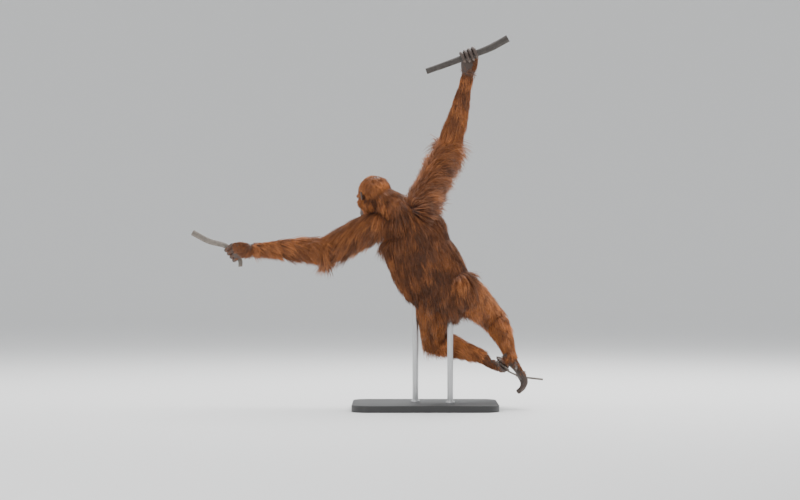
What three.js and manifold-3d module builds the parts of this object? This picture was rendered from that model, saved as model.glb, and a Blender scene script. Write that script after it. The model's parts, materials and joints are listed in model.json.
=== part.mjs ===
// A still, life-size orangutan, an adult female, on a plain display stand. She hangs by her raised
// right hand from a cut length of branch, holds the end of a liana in her left hand, and closes
// her left foot on a twig. Millimetres, +Z up, +Y the way her body faces, -X her left.
// The origin is the middle of the stand base's underside.
import * as THREE from "three";
import { mergeVertices } from "three/addons/utils/BufferGeometryUtils.js";
import Module from "manifold-3d";

const wasm = await Module();
wasm.setup();

const { sin, cos, PI, max, min, hypot, round, abs } = Math;
const V = (x, y, z) => new THREE.Vector3(x, y, z);
const heading = (x, y, z) => V(x, y, z).normalize();
const degrees = (a) => (a * PI) / 180;

// Driving dimensions: the bones of an adult female, and the depth of her coat.
const HUMERUS = 306;
const FOREARM = 327;
const FEMUR = 256;
const SHIN = 228;
const SHOULDERS_APART = 190;
const HIPS_APART = 120;
const PALM_LENGTH = 88;
const SOLE_LENGTH = 112;
const DIGIT_R = 9.5;
const DIGIT_PITCH = 19;
const CRANIUM = { lat: 63, fwd: 75, up: 67 };
const EYE_R = 12.2;
const COAT = { trunk: 28, upperArm: 32, forearm: 17, thigh: 18, shin: 14, head: 15 };
const GAP = 0.33; // kept between nodes that touch
const WELD = 0.001; // corners closer than this are one

// The stand.
const BASE = { width: 640, depth: 470, height: 30, corner: 70, bevel: 4 };
const ROD_R = 13;
const ROD_SUNK = 45;

// Places. The pelvis is set over the base, and the joints follow from it along the bones.
const pelvis = V(88, -30, 520);
const from = (start, length, way) => start.clone().addScaledVector(way, length);
const beside = (p, x, y, z) => p.clone().add(V(x, y, z));

const hip = {
  left: from(pelvis, HIPS_APART * 0.48, heading(-1, 0.1, 0)),
  right: from(pelvis, HIPS_APART * 0.52, heading(1, -0.05, 0.14)),
};
const knee = {
  left: from(hip.left, FEMUR, heading(0.03, 0.55, -0.83)),
  right: from(hip.right, FEMUR, heading(0.57, 0.67, -0.46)),
};
const ankle = {
  left: from(knee.left, SHIN, heading(0.94, -0.03, -0.34)),
  right: from(knee.right, SHIN, heading(0.36, -0.46, -0.8)),
};
const chest = beside(pelvis, -150, 32, 285);
const nape = beside(pelvis, -200, 12, 400);
const betweenShoulders = beside(pelvis, -184, 22, 352);
const acrossShoulders = heading(-0.86, 0.36, -0.36);
const shoulder = {
  left: from(betweenShoulders, SHOULDERS_APART * 0.5, acrossShoulders),
  right: from(betweenShoulders, -SHOULDERS_APART * 0.5, acrossShoulders),
};
const elbow = {
  left: from(shoulder.left, HUMERUS, heading(-0.875, 0.19, -0.44)),
  right: from(shoulder.right, HUMERUS, heading(0.39, 0.4, 0.83)),
};
const wrist = {
  left: from(elbow.left, FOREARM, heading(-0.999, -0.03, 0.0)),
  right: from(elbow.right, FOREARM, heading(0.255, -0.11, 0.96)),
};
const headCentre = beside(pelvis, -311, 82, 437);

// The head's own axes: her right, the way the face points, and the crown.
const FACE = heading(-0.42, 0.87, -0.25);
const RIGHT = FACE.clone().cross(V(-0.06, 0, 1)).normalize();
const CROWN = RIGHT.clone().cross(FACE);
const HEAD_AXES = [RIGHT, FACE, CROWN];
const inHead = (right, fwd, up) =>
  headCentre.clone().addScaledVector(RIGHT, right).addScaledVector(FACE, fwd).addScaledVector(CROWN, up);

// A closed solid from rings of points between two poles. Rings run anticlockwise about the way
// from the first pole to the last.
function solidOfRings(first, rings, last) {
  const n = rings[0].length;
  const points = [first, ...rings.flat(), last];
  const end = points.length - 1;
  const at = (ring, j) => 1 + ring * n + (j % n);
  const faces = [];
  for (let j = 0; j < n; j++) {
    faces.push(0, at(0, j + 1), at(0, j));
    faces.push(end, at(rings.length - 1, j), at(rings.length - 1, j + 1));
    for (let i = 0; i + 1 < rings.length; i++) {
      faces.push(at(i, j), at(i, j + 1), at(i + 1, j + 1));
      faces.push(at(i, j), at(i + 1, j + 1), at(i + 1, j));
    }
  }
  const vertProperties = new Float32Array(points.flatMap((p) => p.toArray()));
  return new wasm.Manifold(
    new wasm.Mesh({ numProp: 3, vertProperties, triVerts: new Uint32Array(faces) }),
  );
}

// A closed solid from a three.js geometry.
function solidOf(geometry) {
  geometry.deleteAttribute("normal");
  geometry.deleteAttribute("uv");
  const merged = mergeVertices(geometry, WELD);
  return new wasm.Manifold(
    new wasm.Mesh({
      numProp: 3,
      vertProperties: merged.attributes.position.array,
      triVerts: new Uint32Array(merged.index.array),
    }),
  );
}

// A bent, tapered form along a smooth path. Each station is [point, half width, half depth], and
// side is the way of the width.
class Form {
  constructor(stations, side) {
    const sizes = stations.map(([, w, d]) => V(w, d, 0));
    this.path = new THREE.CatmullRomCurve3(stations.map(([p]) => p), false, "catmullrom", 0.5);
    this.sizes = new THREE.CatmullRomCurve3(sizes, false, "catmullrom", 0.5);
    this.side = side;
  }

  section(t) {
    const point = this.path.getPoint(t);
    const along = this.path.getTangent(t);
    const size = this.sizes.getPoint(t);
    const side = this.side.clone().addScaledVector(along, -this.side.dot(along)).normalize();
    return { point, along, side, front: along.clone().cross(side), w: size.x, d: size.y };
  }

  // The surface point at angle a round the section at t, and its way out.
  surface(t, a, grow = 0) {
    const { point, along, side, front, w, d } = this.section(t);
    const out = side.clone().multiplyScalar(cos(a) / w).addScaledVector(front, sin(a) / d).normalize();
    const p = point.clone().addScaledVector(side, cos(a) * w).addScaledVector(front, sin(a) * d);
    return { point: p.addScaledVector(out, grow), out, along };
  }

  // The closed solid with round ends, its surface moved out by grow.
  solid(rings, sides, grow = 0) {
    const ring = (s, scale, shift) =>
      Array.from({ length: sides }, (_, j) => {
        const a = (2 * PI * j) / sides;
        return s.point
          .clone()
          .addScaledVector(s.along, shift)
          .addScaledVector(s.side, cos(a) * (s.w + grow) * scale)
          .addScaledVector(s.front, sin(a) * (s.d + grow) * scale);
      });
    const [start, end] = [this.section(0), this.section(1)];
    const reach = (s) => min(s.w, s.d) * 0.8 + grow;
    const body = Array.from({ length: rings }, (_, i) => ring(this.section(i / (rings - 1)), 1, 0));
    return solidOfRings(
      from(start.point, -reach(start), start.along),
      [ring(start, 0.72, -reach(start) * 0.69), ...body, ring(end, 0.72, reach(end) * 0.69)],
      from(end.point, reach(end), end.along),
    );
  }

  // Whether a point is inside the form, grown by a margin.
  holds(p, margin = 0) {
    const steps = 20;
    for (let i = 0; i <= steps; i++) {
      const { point, along, side, front, w, d } = this.section(i / steps);
      const v = p.clone().sub(point);
      const slack = i === 0 || i === steps ? min(w, d) * 0.6 : 22;
      if (abs(v.dot(along)) > slack + margin) continue;
      if (hypot(v.dot(side) / (w + margin), v.dot(front) / (d + margin)) < 1) return true;
    }
    return false;
  }
}

// An ellipsoid about a centre, with its three half sizes along three unit ways.
function ball(centre, sizes, axes, segments = 12) {
  const geometry = new THREE.SphereGeometry(1, segments, round(segments * 0.7));
  const frame = new THREE.Matrix4().makeBasis(...axes).setPosition(centre);
  return solidOf(geometry.scale(...sizes).applyMatrix4(frame));
}

const joined = (solids) => solids.reduce((a, b) => a.add(b));

const geometryOf = (solid) => {
  const { vertProperties, triVerts } = solid.getMesh();
  const geometry = new THREE.BufferGeometry();
  geometry.setAttribute("position", new THREE.BufferAttribute(vertProperties, 3));
  return geometry.setIndex(new THREE.BufferAttribute(triVerts, 1));
};

// Only the outer surface of a solid's largest body, with no pocket left inside it. A pocket's own
// surface has a volume below zero, so the largest volume is always an outer one.
// Closing up corners that are nearly one can pinch a new pocket off, so it is done until nothing
// more changes.
function largest(solid) {
  const bodies = solidOf(geometryOf(solid)).decompose();
  const outer = bodies.reduce((a, b) => (a.volume() > b.volume() ? a : b));
  return outer.numTri() < solid.numTri() ? largest(outer) : outer;
}

// Flesh. Each form is a part of the body as it is under the coat.
const RIGHT_WAY = V(1, 0, 0);
const AWAY = V(0, 1, 0);

const trunk = new Form(
  [
    [beside(pelvis, 22, -4, -42), 74, 66],
    [beside(pelvis, -4, 2, 10), 112, 92],
    [beside(pelvis, -70, 26, 98), 134, 114],
    [beside(pelvis, -122, 36, 190), 132, 112],
    [beside(chest, 0, 0, -12), 124, 102],
    [beside(pelvis, -180, 22, 322), 98, 78],
    [beside(pelvis, -196, 18, 352), 60, 52],
  ],
  RIGHT_WAY,
);
// The shoulder and buttock masses that lie on the trunk.
const shoulderMass = (s, arm) =>
  new Form([[from(s, -46, arm), 54, 50], [from(s, 6, arm), 56, 54], [from(s, 62, arm), 48, 48]], AWAY);
const buttock = (h, way) =>
  new Form([[beside(h, 0, -34, 34), 52, 50], [beside(h, way * 8, -30, -12), 56, 52]], RIGHT_WAY);
const armWay = (s) => elbow[s].clone().sub(shoulder[s]).normalize();
const masses = [
  shoulderMass(shoulder.left, armWay("left")),
  shoulderMass(shoulder.right, armWay("right")),
  buttock(hip.left, -1),
  buttock(hip.right, 1),
];
const neck = new Form(
  [
    [beside(nape, 14, 10, -62), 60, 56],
    [beside(nape.clone().lerp(headCentre, 0.42), 0, 4, -34), 54, 52],
    [inHead(0, -8, -36), 48, 52],
  ],
  RIGHT,
);

// A limb's flesh between two joints, as shares of its length with half width and half depth.
const limb = (start, end, profile, side, bow = V(0, 0, 0)) =>
  new Form(
    profile.map(([t, w, d]) => {
      const p = start.clone().lerp(end, t);
      return [p.addScaledVector(bow, sin(PI * min(1, max(0, t)))), w, d];
    }),
    side,
  );
const UPPER_ARM = [[0.04, 50, 50], [0.3, 46, 46], [0.62, 39, 40], [0.88, 33, 35], [1, 34, 34]];
const FOREARM_SHAPE = [[0, 32, 33], [0.2, 37, 36], [0.5, 31, 30], [0.8, 23, 21], [1, 25, 18]];
const THIGH = [[-0.06, 66, 66], [0.25, 62, 60], [0.6, 50, 50], [0.88, 40, 42], [1, 38, 40]];
const SHIN_SHAPE = [[0, 37, 38], [0.25, 37, 38], [0.6, 28, 29], [0.88, 22, 23], [1, 22, 23]];

const upperArm = {
  left: limb(shoulder.left, elbow.left, UPPER_ARM, AWAY),
  right: limb(shoulder.right, elbow.right, UPPER_ARM, AWAY),
};
const forearm = {
  left: limb(elbow.left, wrist.left, FOREARM_SHAPE, heading(0.3, 0.2, 1), V(0, 0, 4)),
  right: limb(elbow.right, wrist.right, FOREARM_SHAPE, RIGHT_WAY, V(6, 0, 0)),
};
const thigh = {
  left: limb(hip.left, knee.left, THIGH, RIGHT_WAY),
  right: limb(hip.right, knee.right, THIGH, heading(1, 0, 1), V(4, 0, 6)),
};
const shin = {
  left: limb(knee.left, ankle.left, SHIN_SHAPE, AWAY),
  right: limb(knee.right, ankle.right, SHIN_SHAPE, RIGHT_WAY, V(8, 0, 4)),
};

// What is held: a branch, the end of a liana, and a twig, each round and slightly crooked.
const bar = (points, r0, r1) =>
  new Form(points.map((p, i) => {
    const r = r0 + ((r1 - r0) * i) / (points.length - 1);
    return [p, r, r];
  }), AWAY);
const BRANCH_R = 14;
const LIANA_R = 10;
const TWIG_R = 4;

const branchAt = from(wrist.right, PALM_LENGTH + 2, heading(0.07, -0.42, 0.9));
const branchWay = heading(0.92, 0, 0.39);
const branch = bar(
  [[-205, 10, 12], [-105, 2, 5], [0, 0, 0], [95, 0, -5], [185, -8, 4]].map(([s, y, z]) =>
    beside(from(branchAt, s, branchWay), 0, y, z),
  ),
  12.5,
  16,
);

const lianaAt = from(wrist.left, PALM_LENGTH - 8, heading(-0.95, 0.3, -0.17));
const lianaWay = heading(0.62, 0.0, -0.78);
const liana = bar(
  [
    beside(lianaAt, -185, 18, 88),
    beside(lianaAt, -112, 12, 50),
    beside(from(lianaAt, -46, lianaWay), -12, 2, -6),
    from(lianaAt, -6, lianaWay),
    from(lianaAt, 42, lianaWay),
    from(lianaAt, 70, heading(0.42, -0.02, -0.9)),
  ],
  13,
  LIANA_R - 1,
);

// Digits curled round a bar. They start beside the bar on the palm's side, spread along it from
// first to last, and turn by curl degrees the way the palm points.
function curledDigits({ at, along, palm, reach, r, back, curls, radius = DIGIT_R }) {
  return curls.map((curl, k) => {
    const middle = from(at, (k - (curls.length - 1) / 2) * DIGIT_PITCH, along);
    const arc = (a) =>
      middle.clone().addScaledVector(palm, cos(a) * r).addScaledVector(reach, sin(a) * r);
    const steps = 5;
    const stations = [[from(arc(0), -back, reach), radius * 1.1, radius * 1.1]];
    for (let i = 0; i <= steps; i++) {
      const size = radius * (1.04 - (0.3 * i) / steps);
      stations.push([arc(degrees(curl) * (i / steps)), size, size]);
    }
    return new Form(stations, along);
  });
}

// A hand or foot that grips: the palm from the wrist to the bar, four digits round it, and a thumb.
function grip({ start, at, along, palm, barR, fill, back, width, curls, thumb, heel }) {
  const reach = along.clone().cross(palm).normalize();
  if (reach.dot(at.clone().sub(start)) < 0) reach.negate();
  const r = barR + DIGIT_R + fill;
  const knuckles = from(from(at, r + 3, palm), -8, reach);
  const middle = start.clone().lerp(knuckles, 0.52).addScaledVector(palm, 3);
  const palmSizes = [[start, width * 0.66, 20], [middle, width * 0.94, 18], [knuckles, width, 12]];
  const digits = curledDigits({ at, along, palm, reach, r, back, curls });
  const thumbRoot = from(from(start.clone().lerp(middle, 0.75), -width * 0.5, along), -4, palm);
  const thumbTip = thumbRoot
    .clone()
    .addScaledVector(along, -0.62 * thumb)
    .addScaledVector(reach, 0.66 * thumb)
    .addScaledVector(palm, -12);
  const first = new Form(
    [[thumbRoot, 11, 11], [thumbRoot.clone().lerp(thumbTip, 0.6), 10, 10], [thumbTip, 7.5, 7.5]],
    palm,
  );
  const heelEnd = from(from(start, -12, reach), -heel, palm);
  const extra = heel ? [new Form([[heelEnd, 17, 17], [from(start, 18, reach), 23, 21]], along)] : [];
  return { pad: new Form(palmSizes, along), digits: [...digits, first], extra };
}

// The first digit is on the side that along points away from.
const hand = {
  right: grip({
    start: wrist.right, at: branchAt, along: branchWay.clone().negate(), palm: heading(0, 1, 0),
    barR: BRANCH_R, fill: 1, back: 16, width: 37, curls: [222, 236, 232, 214], thumb: 46,
  }),
  left: grip({
    start: wrist.left, at: lianaAt, along: lianaWay, palm: heading(0, -1, 0),
    barR: LIANA_R, fill: 2, back: 16, width: 37, curls: [226, 244, 240, 222], thumb: 46,
  }),
};

// The left foot closes on the twig beyond the ankle.
const footWay = heading(0.66, 0.5, -0.56);
const twigAlong = heading(-0.42, 0.86, 0.28).addScaledVector(footWay, -0.004).normalize();
const soleWay = twigAlong.clone().cross(footWay).negate(); // out of the left sole
const twigAt = from(from(ankle.left, SOLE_LENGTH - 4, footWay), 26, soleWay);
const twig = bar(
  [
    from(twigAt, -78, twigAlong),
    from(twigAt, -30, twigAlong),
    from(twigAt, 36, twigAlong),
    beside(from(twigAt, 70, twigAlong), 44, 6, -40),
    beside(from(twigAt, 74, twigAlong), 120, 8, -78),
    beside(from(twigAt, 76, twigAlong), 226, 12, -94),
  ],
  TWIG_R - 0.5,
  TWIG_R + 0.5,
);
const foot = {
  left: grip({
    start: ankle.left, at: twigAt, along: twigAlong, palm: soleWay.clone().negate(),
    barR: TWIG_R, fill: 6.5, back: 26, width: 35, curls: [228, 246, 242, 226], thumb: 42, heel: 7,
  }),
  right: hangingFoot(),
};

// The right foot hangs, its sole to her left, with the toes half curled.
function hangingFoot() {
  const way = heading(0.5, -0.05, -0.86);
  const sole = heading(-0.84, -0.3, -0.46);
  const across = way.clone().cross(sole).normalize();
  const start = ankle.right;
  const ball = from(start, SOLE_LENGTH - 12, way);
  const heelEnd = from(from(start, -15, way), 16, sole);
  const pad = new Form(
    [
      [heelEnd, 17, 18],
      [from(from(start, 12, way), 8, sole), 25, 22],
      [from(from(start, 58, way), 1, sole), 32, 15],
      [ball, 36, 12],
    ],
    across,
  );
  const digits = [0.86, 1, 0.97, 0.88].map((size, k) => {
    const root = from(ball, (k - 1.5) * DIGIT_PITCH, across);
    const bend = degrees(34);
    const stations = [[from(root, -18, way), DIGIT_R * 1.1, DIGIT_R * 1.1]];
    const p = root.clone();
    for (let i = 0; i < 4; i++) {
      const r = DIGIT_R * (1.02 - 0.09 * i);
      stations.push([p.clone(), r, r]);
      const a = bend * (i + 0.3);
      p.addScaledVector(way, cos(a) * 26 * size).addScaledVector(sole, sin(a) * 26 * size);
    }
    return new Form(stations, across);
  });
  const root = from(from(from(start, 34, way), 5, sole), -24, across);
  const tip = from(from(from(root, 22, way), 20, sole), -22, across);
  const first = new Form([[root, 11, 11], [root.clone().lerp(tip, 0.6), 9.5, 9.5], [tip, 7.5, 7.5]], sole);
  return { pad, digits: [...digits, first], extra: [] };
}

// The head is a smooth blend of ellipsoids: [right, forward, up, and the half sizes the same way].
const LUMPS = [
  [0, 0, 0, CRANIUM.lat, CRANIUM.fwd, CRANIUM.up],
  [0, 34, -34, 60, 44, 54],
  [0, 76, -58, 40, 46, 34],
  [0, 60, -84, 35, 48, 27],
  [0, 20, -72, 50, 46, 38],
  [40, 40, -32, 20, 22, 15],
  [-40, 40, -32, 20, 22, 15],
  [24, 60, 6, 24, 16, 10],
  [-24, 60, 6, 24, 16, 10],
  [0, 102, -72, 31, 27, 22],
];
const BLEND = 16; // how widely neighbouring lumps run together
const HOLLOWS = [
  [27, 84, -17, 17, 15, 14],
  [-27, 84, -17, 17, 15, 14],
];

// How far a point is outside an ellipsoid, about.
function outside([r, f, u, rr, rf, ru], [x, y, z], grow) {
  const [a, b, c] = [(x - r) / (rr + grow), (y - f) / (rf + grow), (z - u) / (ru + grow)];
  const k = hypot(a, b, c);
  const slope = hypot(a / (rr + grow), b / (rf + grow), c / (ru + grow));
  return k === 0 ? -min(rr, rf, ru) : (k * (k - 1)) / slope;
}
const blendMin = (a, b) => {
  const h = max(BLEND - abs(a - b), 0) / BLEND;
  return min(a, b) - (h * h * BLEND) / 4;
};
function headField(p, grow = 0) {
  const flesh = LUMPS.map((lump) => outside(lump, p, grow)).reduce(blendMin);
  return HOLLOWS.reduce((f, hollow) => -blendMin(-f, outside(hollow, p, -grow)), flesh);
}

// The head's surface along a ray from its middle, found by halving.
const HEAD_MIDDLE = [0, 34, -34];
function headSurface(way, grow = 0) {
  const [r, f, u] = HEAD_MIDDLE;
  const point = (s) => [r + way.x * s, f + way.y * s, u + way.z * s];
  let [near, far] = [20, 150];
  for (let i = 0; i < 22; i++) {
    const s = (near + far) / 2;
    if (headField(point(s), grow) < 0) near = s;
    else far = s;
  }
  return inHead(...point(near));
}
function headShell(detail, grow = 0) {
  const geometry = new THREE.IcosahedronGeometry(1, detail);
  geometry.deleteAttribute("normal");
  geometry.deleteAttribute("uv");
  const merged = mergeVertices(geometry, WELD);
  const spots = merged.attributes.position;
  const way = V(0, 0, 0);
  for (let i = 0; i < spots.count; i++) {
    const p = headSurface(way.fromBufferAttribute(spots, i).normalize(), grow);
    spots.setXYZ(i, p.x, p.y, p.z);
  }
  return solidOf(merged);
}

// The features of the face.
const NOSE_UP = -40;
const MOUTH_UP = -77;
const MOUTH_HALF = 33;
const LID = 3.2; // how thick the lids are over the eye
const EYE_ROOM = 1.6; // between the eye and its socket
const eyeAt = (s) => inHead(s * 27, 68, -17);
const arcForm = (points, w, d) => new Form(points.map((p) => [inHead(...p), w, d]), CROWN);
// How far forward the face's surface is at a place seen from the front.
function frontAt(right, up) {
  let [near, far] = [20, 170];
  for (let i = 0; i < 20; i++) {
    const f = (near + far) / 2;
    if (headField([right, f, up]) < 0) near = f;
    else far = f;
  }
  return near;
}
// A line across the muzzle at a height, out to a half width, set a depth under its surface.
const acrossMuzzle = (half, up, droop, depth) =>
  [-1, -0.72, -0.36, 0, 0.36, 0.72, 1].map((x) => {
    const height = up - droop * x * x;
    return [half * x, frontAt(half * x, height) - depth, height];
  });
function faceFeatures(head) {
  const noseTip = frontAt(8, NOSE_UP);
  const onBothSides = (make) => [-1, 1].map(make);
  const globe = (s, r) => ball(eyeAt(s), [r, r, r], HEAD_AXES, 8);
  const added = [
    arcForm(acrossMuzzle(28, MOUTH_UP + 7, -3, 3), 6, 6).solid(7, 5),
    arcForm(acrossMuzzle(26, MOUTH_UP - 7, -2, 3), 6, 6).solid(7, 5),
    ...onBothSides((s) => ball(inHead(s * 9, noseTip - 4, NOSE_UP), [9, 9, 7], HEAD_AXES, 7)),
    ...onBothSides((s) => globe(s, EYE_R + LID)),
  ];
  const cuts = [
    arcForm(acrossMuzzle(MOUTH_HALF, MOUTH_UP, -4, -4), 0.9, 12).solid(7, 4),
    ...onBothSides((s) => ball(inHead(s * 8, noseTip + 4, NOSE_UP), [3.8, 6, 2.7], HEAD_AXES, 6)),
    ...onBothSides((s) => globe(s, EYE_R + EYE_ROOM)),
    ...onBothSides((s) => ball(from(eyeAt(s), 16, FACE), [11.5, 13, 6], HEAD_AXES, 8)),
  ];
  return cuts.reduce((a, b) => a.subtract(b), joined([head, ...added]));
}
const eye = (s) => ball(eyeAt(s), [EYE_R, EYE_R, EYE_R], HEAD_AXES, 10);

// An ear: a small upright dish with its hollow facing out and forward.
function ear(s, grow = 0) {
  const centre = inHead(s * 66.6, -2, -16);
  const out = RIGHT.clone().multiplyScalar(s * 0.86).addScaledVector(FACE, 0.5).normalize();
  const up = CROWN.clone().addScaledVector(out, -CROWN.dot(out)).normalize();
  const axes = [out.clone().cross(up), out, up];
  const dish = ball(centre, [13 + grow, 6 + grow, 19 + grow], axes, 10);
  if (grow) return dish;
  return dish.subtract(ball(from(centre, 6.5, out), [9, 6.5, 14.5], axes, 8));
}

// The cores, in the order in which a later one gives way to an earlier one.
const RINGS = 7;
const SIDES = 10;
const grown = (form, depth) => (grow) => form.solid(RINGS, SIDES, depth + grow);
const gripSolid = ({ pad, digits, extra }) => (grow) =>
  joined([
    pad.solid(5, 8, grow),
    ...extra.map((f) => f.solid(3, 8, grow)),
    ...digits.map((f) => f.solid(6, 6, grow)),
  ]);
const rodPlaces = { rump: V(110, -42, 0), belly: V(-42, 34, 0) };
const rod = (p, top) => (grow) =>
  solidOf(
    new THREE.CylinderGeometry(ROD_R + grow, ROD_R + grow, top - BASE.height - GAP + 2 * grow, 16)
      .rotateX(PI / 2)
      .translate(p.x, p.y, (top + BASE.height + GAP) / 2),
  );
function standBase(grow) {
  const [w, d, r] = [BASE.width / 2 + grow, BASE.depth / 2 + grow, BASE.corner];
  const outline = new THREE.Shape();
  outline.moveTo(-w + r, -d);
  outline.lineTo(w - r, -d);
  outline.absarc(w - r, -d + r, r, -PI / 2, 0);
  outline.absarc(w - r, d - r, r, 0, PI / 2);
  outline.absarc(-w + r, d - r, r, PI / 2, PI);
  outline.absarc(-w + r, -d + r, r, PI, 1.5 * PI);
  const slab = new THREE.ExtrudeGeometry(outline, {
    depth: BASE.height - 2 * BASE.bevel + 2 * grow,
    bevelThickness: BASE.bevel, bevelSize: BASE.bevel, bevelOffset: -BASE.bevel, bevelSegments: 1,
    curveSegments: 4,
  });
  return solidOf(slab.translate(0, 0, BASE.bevel - grow));
}

const cores = {
  stand_base: standBase,
  stand_rod_rump: rod(rodPlaces.rump, pelvis.z - 76 + ROD_SUNK),
  stand_rod_belly: rod(rodPlaces.belly, pelvis.z - 14 + ROD_SUNK),
  perch_branch: (grow) => branch.solid(7, 9, grow),
  perch_liana: (grow) => liana.solid(13, 7, grow),
  perch_twig: (grow) => twig.solid(13, 5, grow),
  torso: (grow) =>
    joined([
      trunk.solid(9, 16, COAT.trunk + grow),
      ...masses.map((m) => m.solid(3, 10, COAT.trunk + grow)),
    ]),
  head: (grow) => (grow ? headShell(5, grow) : faceFeatures(headShell(5))),
  ear_left: (grow) => ear(-1, grow),
  ear_right: (grow) => ear(1, grow),
  neck: grown(neck, COAT.trunk * 0.6),
};
for (const s of ["left", "right"]) {
  cores["upper_arm_" + s] = grown(upperArm[s], COAT.upperArm);
  cores["forearm_" + s] = grown(forearm[s], COAT.forearm);
  cores["hand_" + s] = gripSolid(hand[s]);
  cores["thigh_" + s] = grown(thigh[s], COAT.thigh);
  cores["shin_" + s] = grown(shin[s], COAT.shin);
  cores["foot_" + s] = gripSolid(foot[s]);
}

// Colours for a plain preview; each slot is a MeshStandardMaterial.
const finish = (color, roughness, metalness = 0) =>
  new THREE.MeshStandardMaterial({ color, roughness, metalness });
const MATERIALS = {
  coat: finish(0x9c4a1e, 0.9),
  skin: finish(0x3a2c28, 0.7),
  eye: finish(0x2a1408, 0.15),
  bark: finish(0x4a4238, 0.9),
  base: finish(0x2c2a28, 0.6),
  steel: finish(0x6b6d70, 0.35, 0.9),
};
const slotOf = (name) => {
  if (name === "stand_base") return "base";
  if (name.startsWith("stand_rod")) return "steel";
  if (name.startsWith("perch")) return "bark";
  if (/^(hand|foot|ear)/.test(name)) return "skin";
  return name.startsWith("eye") ? "eye" : "coat";
};

function meshOf(name, solid) {
  const geometry = geometryOf(solid);
  geometry.computeVertexNormals();
  const mesh = new THREE.Mesh(geometry, MATERIALS[slotOf(name)]);
  mesh.name = name;
  return mesh;
}

const near = (a, b) => {
  const [p, q] = [a.boundingBox(), b.boundingBox()];
  return [0, 1, 2].every((i) => p.min[i] < q.max[i] && q.min[i] < p.max[i]);
};
const cut = (solid, obstacles) => obstacles.reduce((a, b) => (near(a, b) ? a.subtract(b) : a), solid);

const names = Object.keys(cores);
const grownCores = Object.fromEntries(names.map((name) => [name, cores[name](GAP)]));
const eyes = { eye_left: eye(-1), eye_right: eye(1) };
const orangutan = new THREE.Group();
for (const [i, name] of names.entries()) {
  // Of two forms that meet, the later one gives way to the earlier one and the gap around it.
  const earlier = names.slice(0, i).map((n) => grownCores[n]);
  orangutan.add(meshOf(name, largest(cut(cores[name](0), earlier))));
}
for (const [name, solid] of Object.entries(eyes)) orangutan.add(meshOf(name, solid));

export default orangutan;
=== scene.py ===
# %% [markdown]
# Everything is built round the CAD solids in one shared frame, so the frame is loaded first.

import json
import math

import bpy
import numpy as np
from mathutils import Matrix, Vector

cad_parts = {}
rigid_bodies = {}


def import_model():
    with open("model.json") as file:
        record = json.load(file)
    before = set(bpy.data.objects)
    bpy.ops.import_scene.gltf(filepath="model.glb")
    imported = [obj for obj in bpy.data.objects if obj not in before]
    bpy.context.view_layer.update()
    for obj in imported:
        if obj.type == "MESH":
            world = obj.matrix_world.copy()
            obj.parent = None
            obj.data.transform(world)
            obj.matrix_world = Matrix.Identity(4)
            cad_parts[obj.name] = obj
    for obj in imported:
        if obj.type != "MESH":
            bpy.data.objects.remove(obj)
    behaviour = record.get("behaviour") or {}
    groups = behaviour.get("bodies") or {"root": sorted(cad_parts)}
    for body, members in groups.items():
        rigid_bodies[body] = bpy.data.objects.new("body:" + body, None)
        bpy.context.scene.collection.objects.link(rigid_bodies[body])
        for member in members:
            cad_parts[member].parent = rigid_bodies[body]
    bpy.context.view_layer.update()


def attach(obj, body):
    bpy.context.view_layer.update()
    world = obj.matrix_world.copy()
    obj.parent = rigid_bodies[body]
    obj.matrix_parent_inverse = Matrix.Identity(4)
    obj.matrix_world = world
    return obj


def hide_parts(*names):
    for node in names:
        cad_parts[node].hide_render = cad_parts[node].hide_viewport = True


for leftover in list(bpy.data.objects):
    bpy.data.objects.remove(leftover)
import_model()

# %% [markdown]
# A life-size orangutan, an adult female, hangs from a branch by her right hand. The picture is
# taken level with her back, from a long way off, so a long lens gives the photograph's flat view.
# The camera comes first, because every later choice of detail depends on what it sees.

# %% The camera
MM = 0.001
PICTURE_W = 800  # pixels
MM_PER_PIXEL = 4.4  # at the animal
VIEW_CENTRE = Vector((-0.110, 0.0, 0.700))
CAMERA_AWAY = 10.0
SENSOR = 36.0

camera_data = bpy.data.cameras.new("camera")
camera = bpy.data.objects.new("camera", camera_data)
bpy.context.scene.collection.objects.link(camera)
camera_data.sensor_width = SENSOR
camera_data.lens = SENSOR * CAMERA_AWAY / (PICTURE_W * MM_PER_PIXEL * MM)
camera.location = VIEW_CENTRE + Vector((0, -CAMERA_AWAY, 0))
camera.rotation_euler = (math.radians(90), 0, 0)
bpy.context.scene.camera = camera
print("lens:", round(camera_data.lens, 1), "mm")

# %% [markdown]
# The body is built on its bones. Their lengths are those of an adult female, and their directions
# are the pose. Everything is worked out in millimetres from the pelvis, with +Y the way her chest
# faces and -X her left, and turned to metres as each mesh is made.

# %% Bones and places
HUMERUS, FOREARM, FEMUR, SHIN = 306, 327, 256, 228
SHOULDERS_APART, HIPS_APART = 190, 120
PALM_LENGTH, SOLE_LENGTH = 88, 112
DIGIT_R, DIGIT_PITCH = 9.5, 19
EYE_R = 12.2
BRANCH_R, LIANA_R, TWIG_R = 14, 10, 4


def vec(*numbers):
    return np.array(numbers, float)


def unit(v):
    return v / np.linalg.norm(v)


def heading(*numbers):
    return unit(vec(*numbers))


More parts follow.
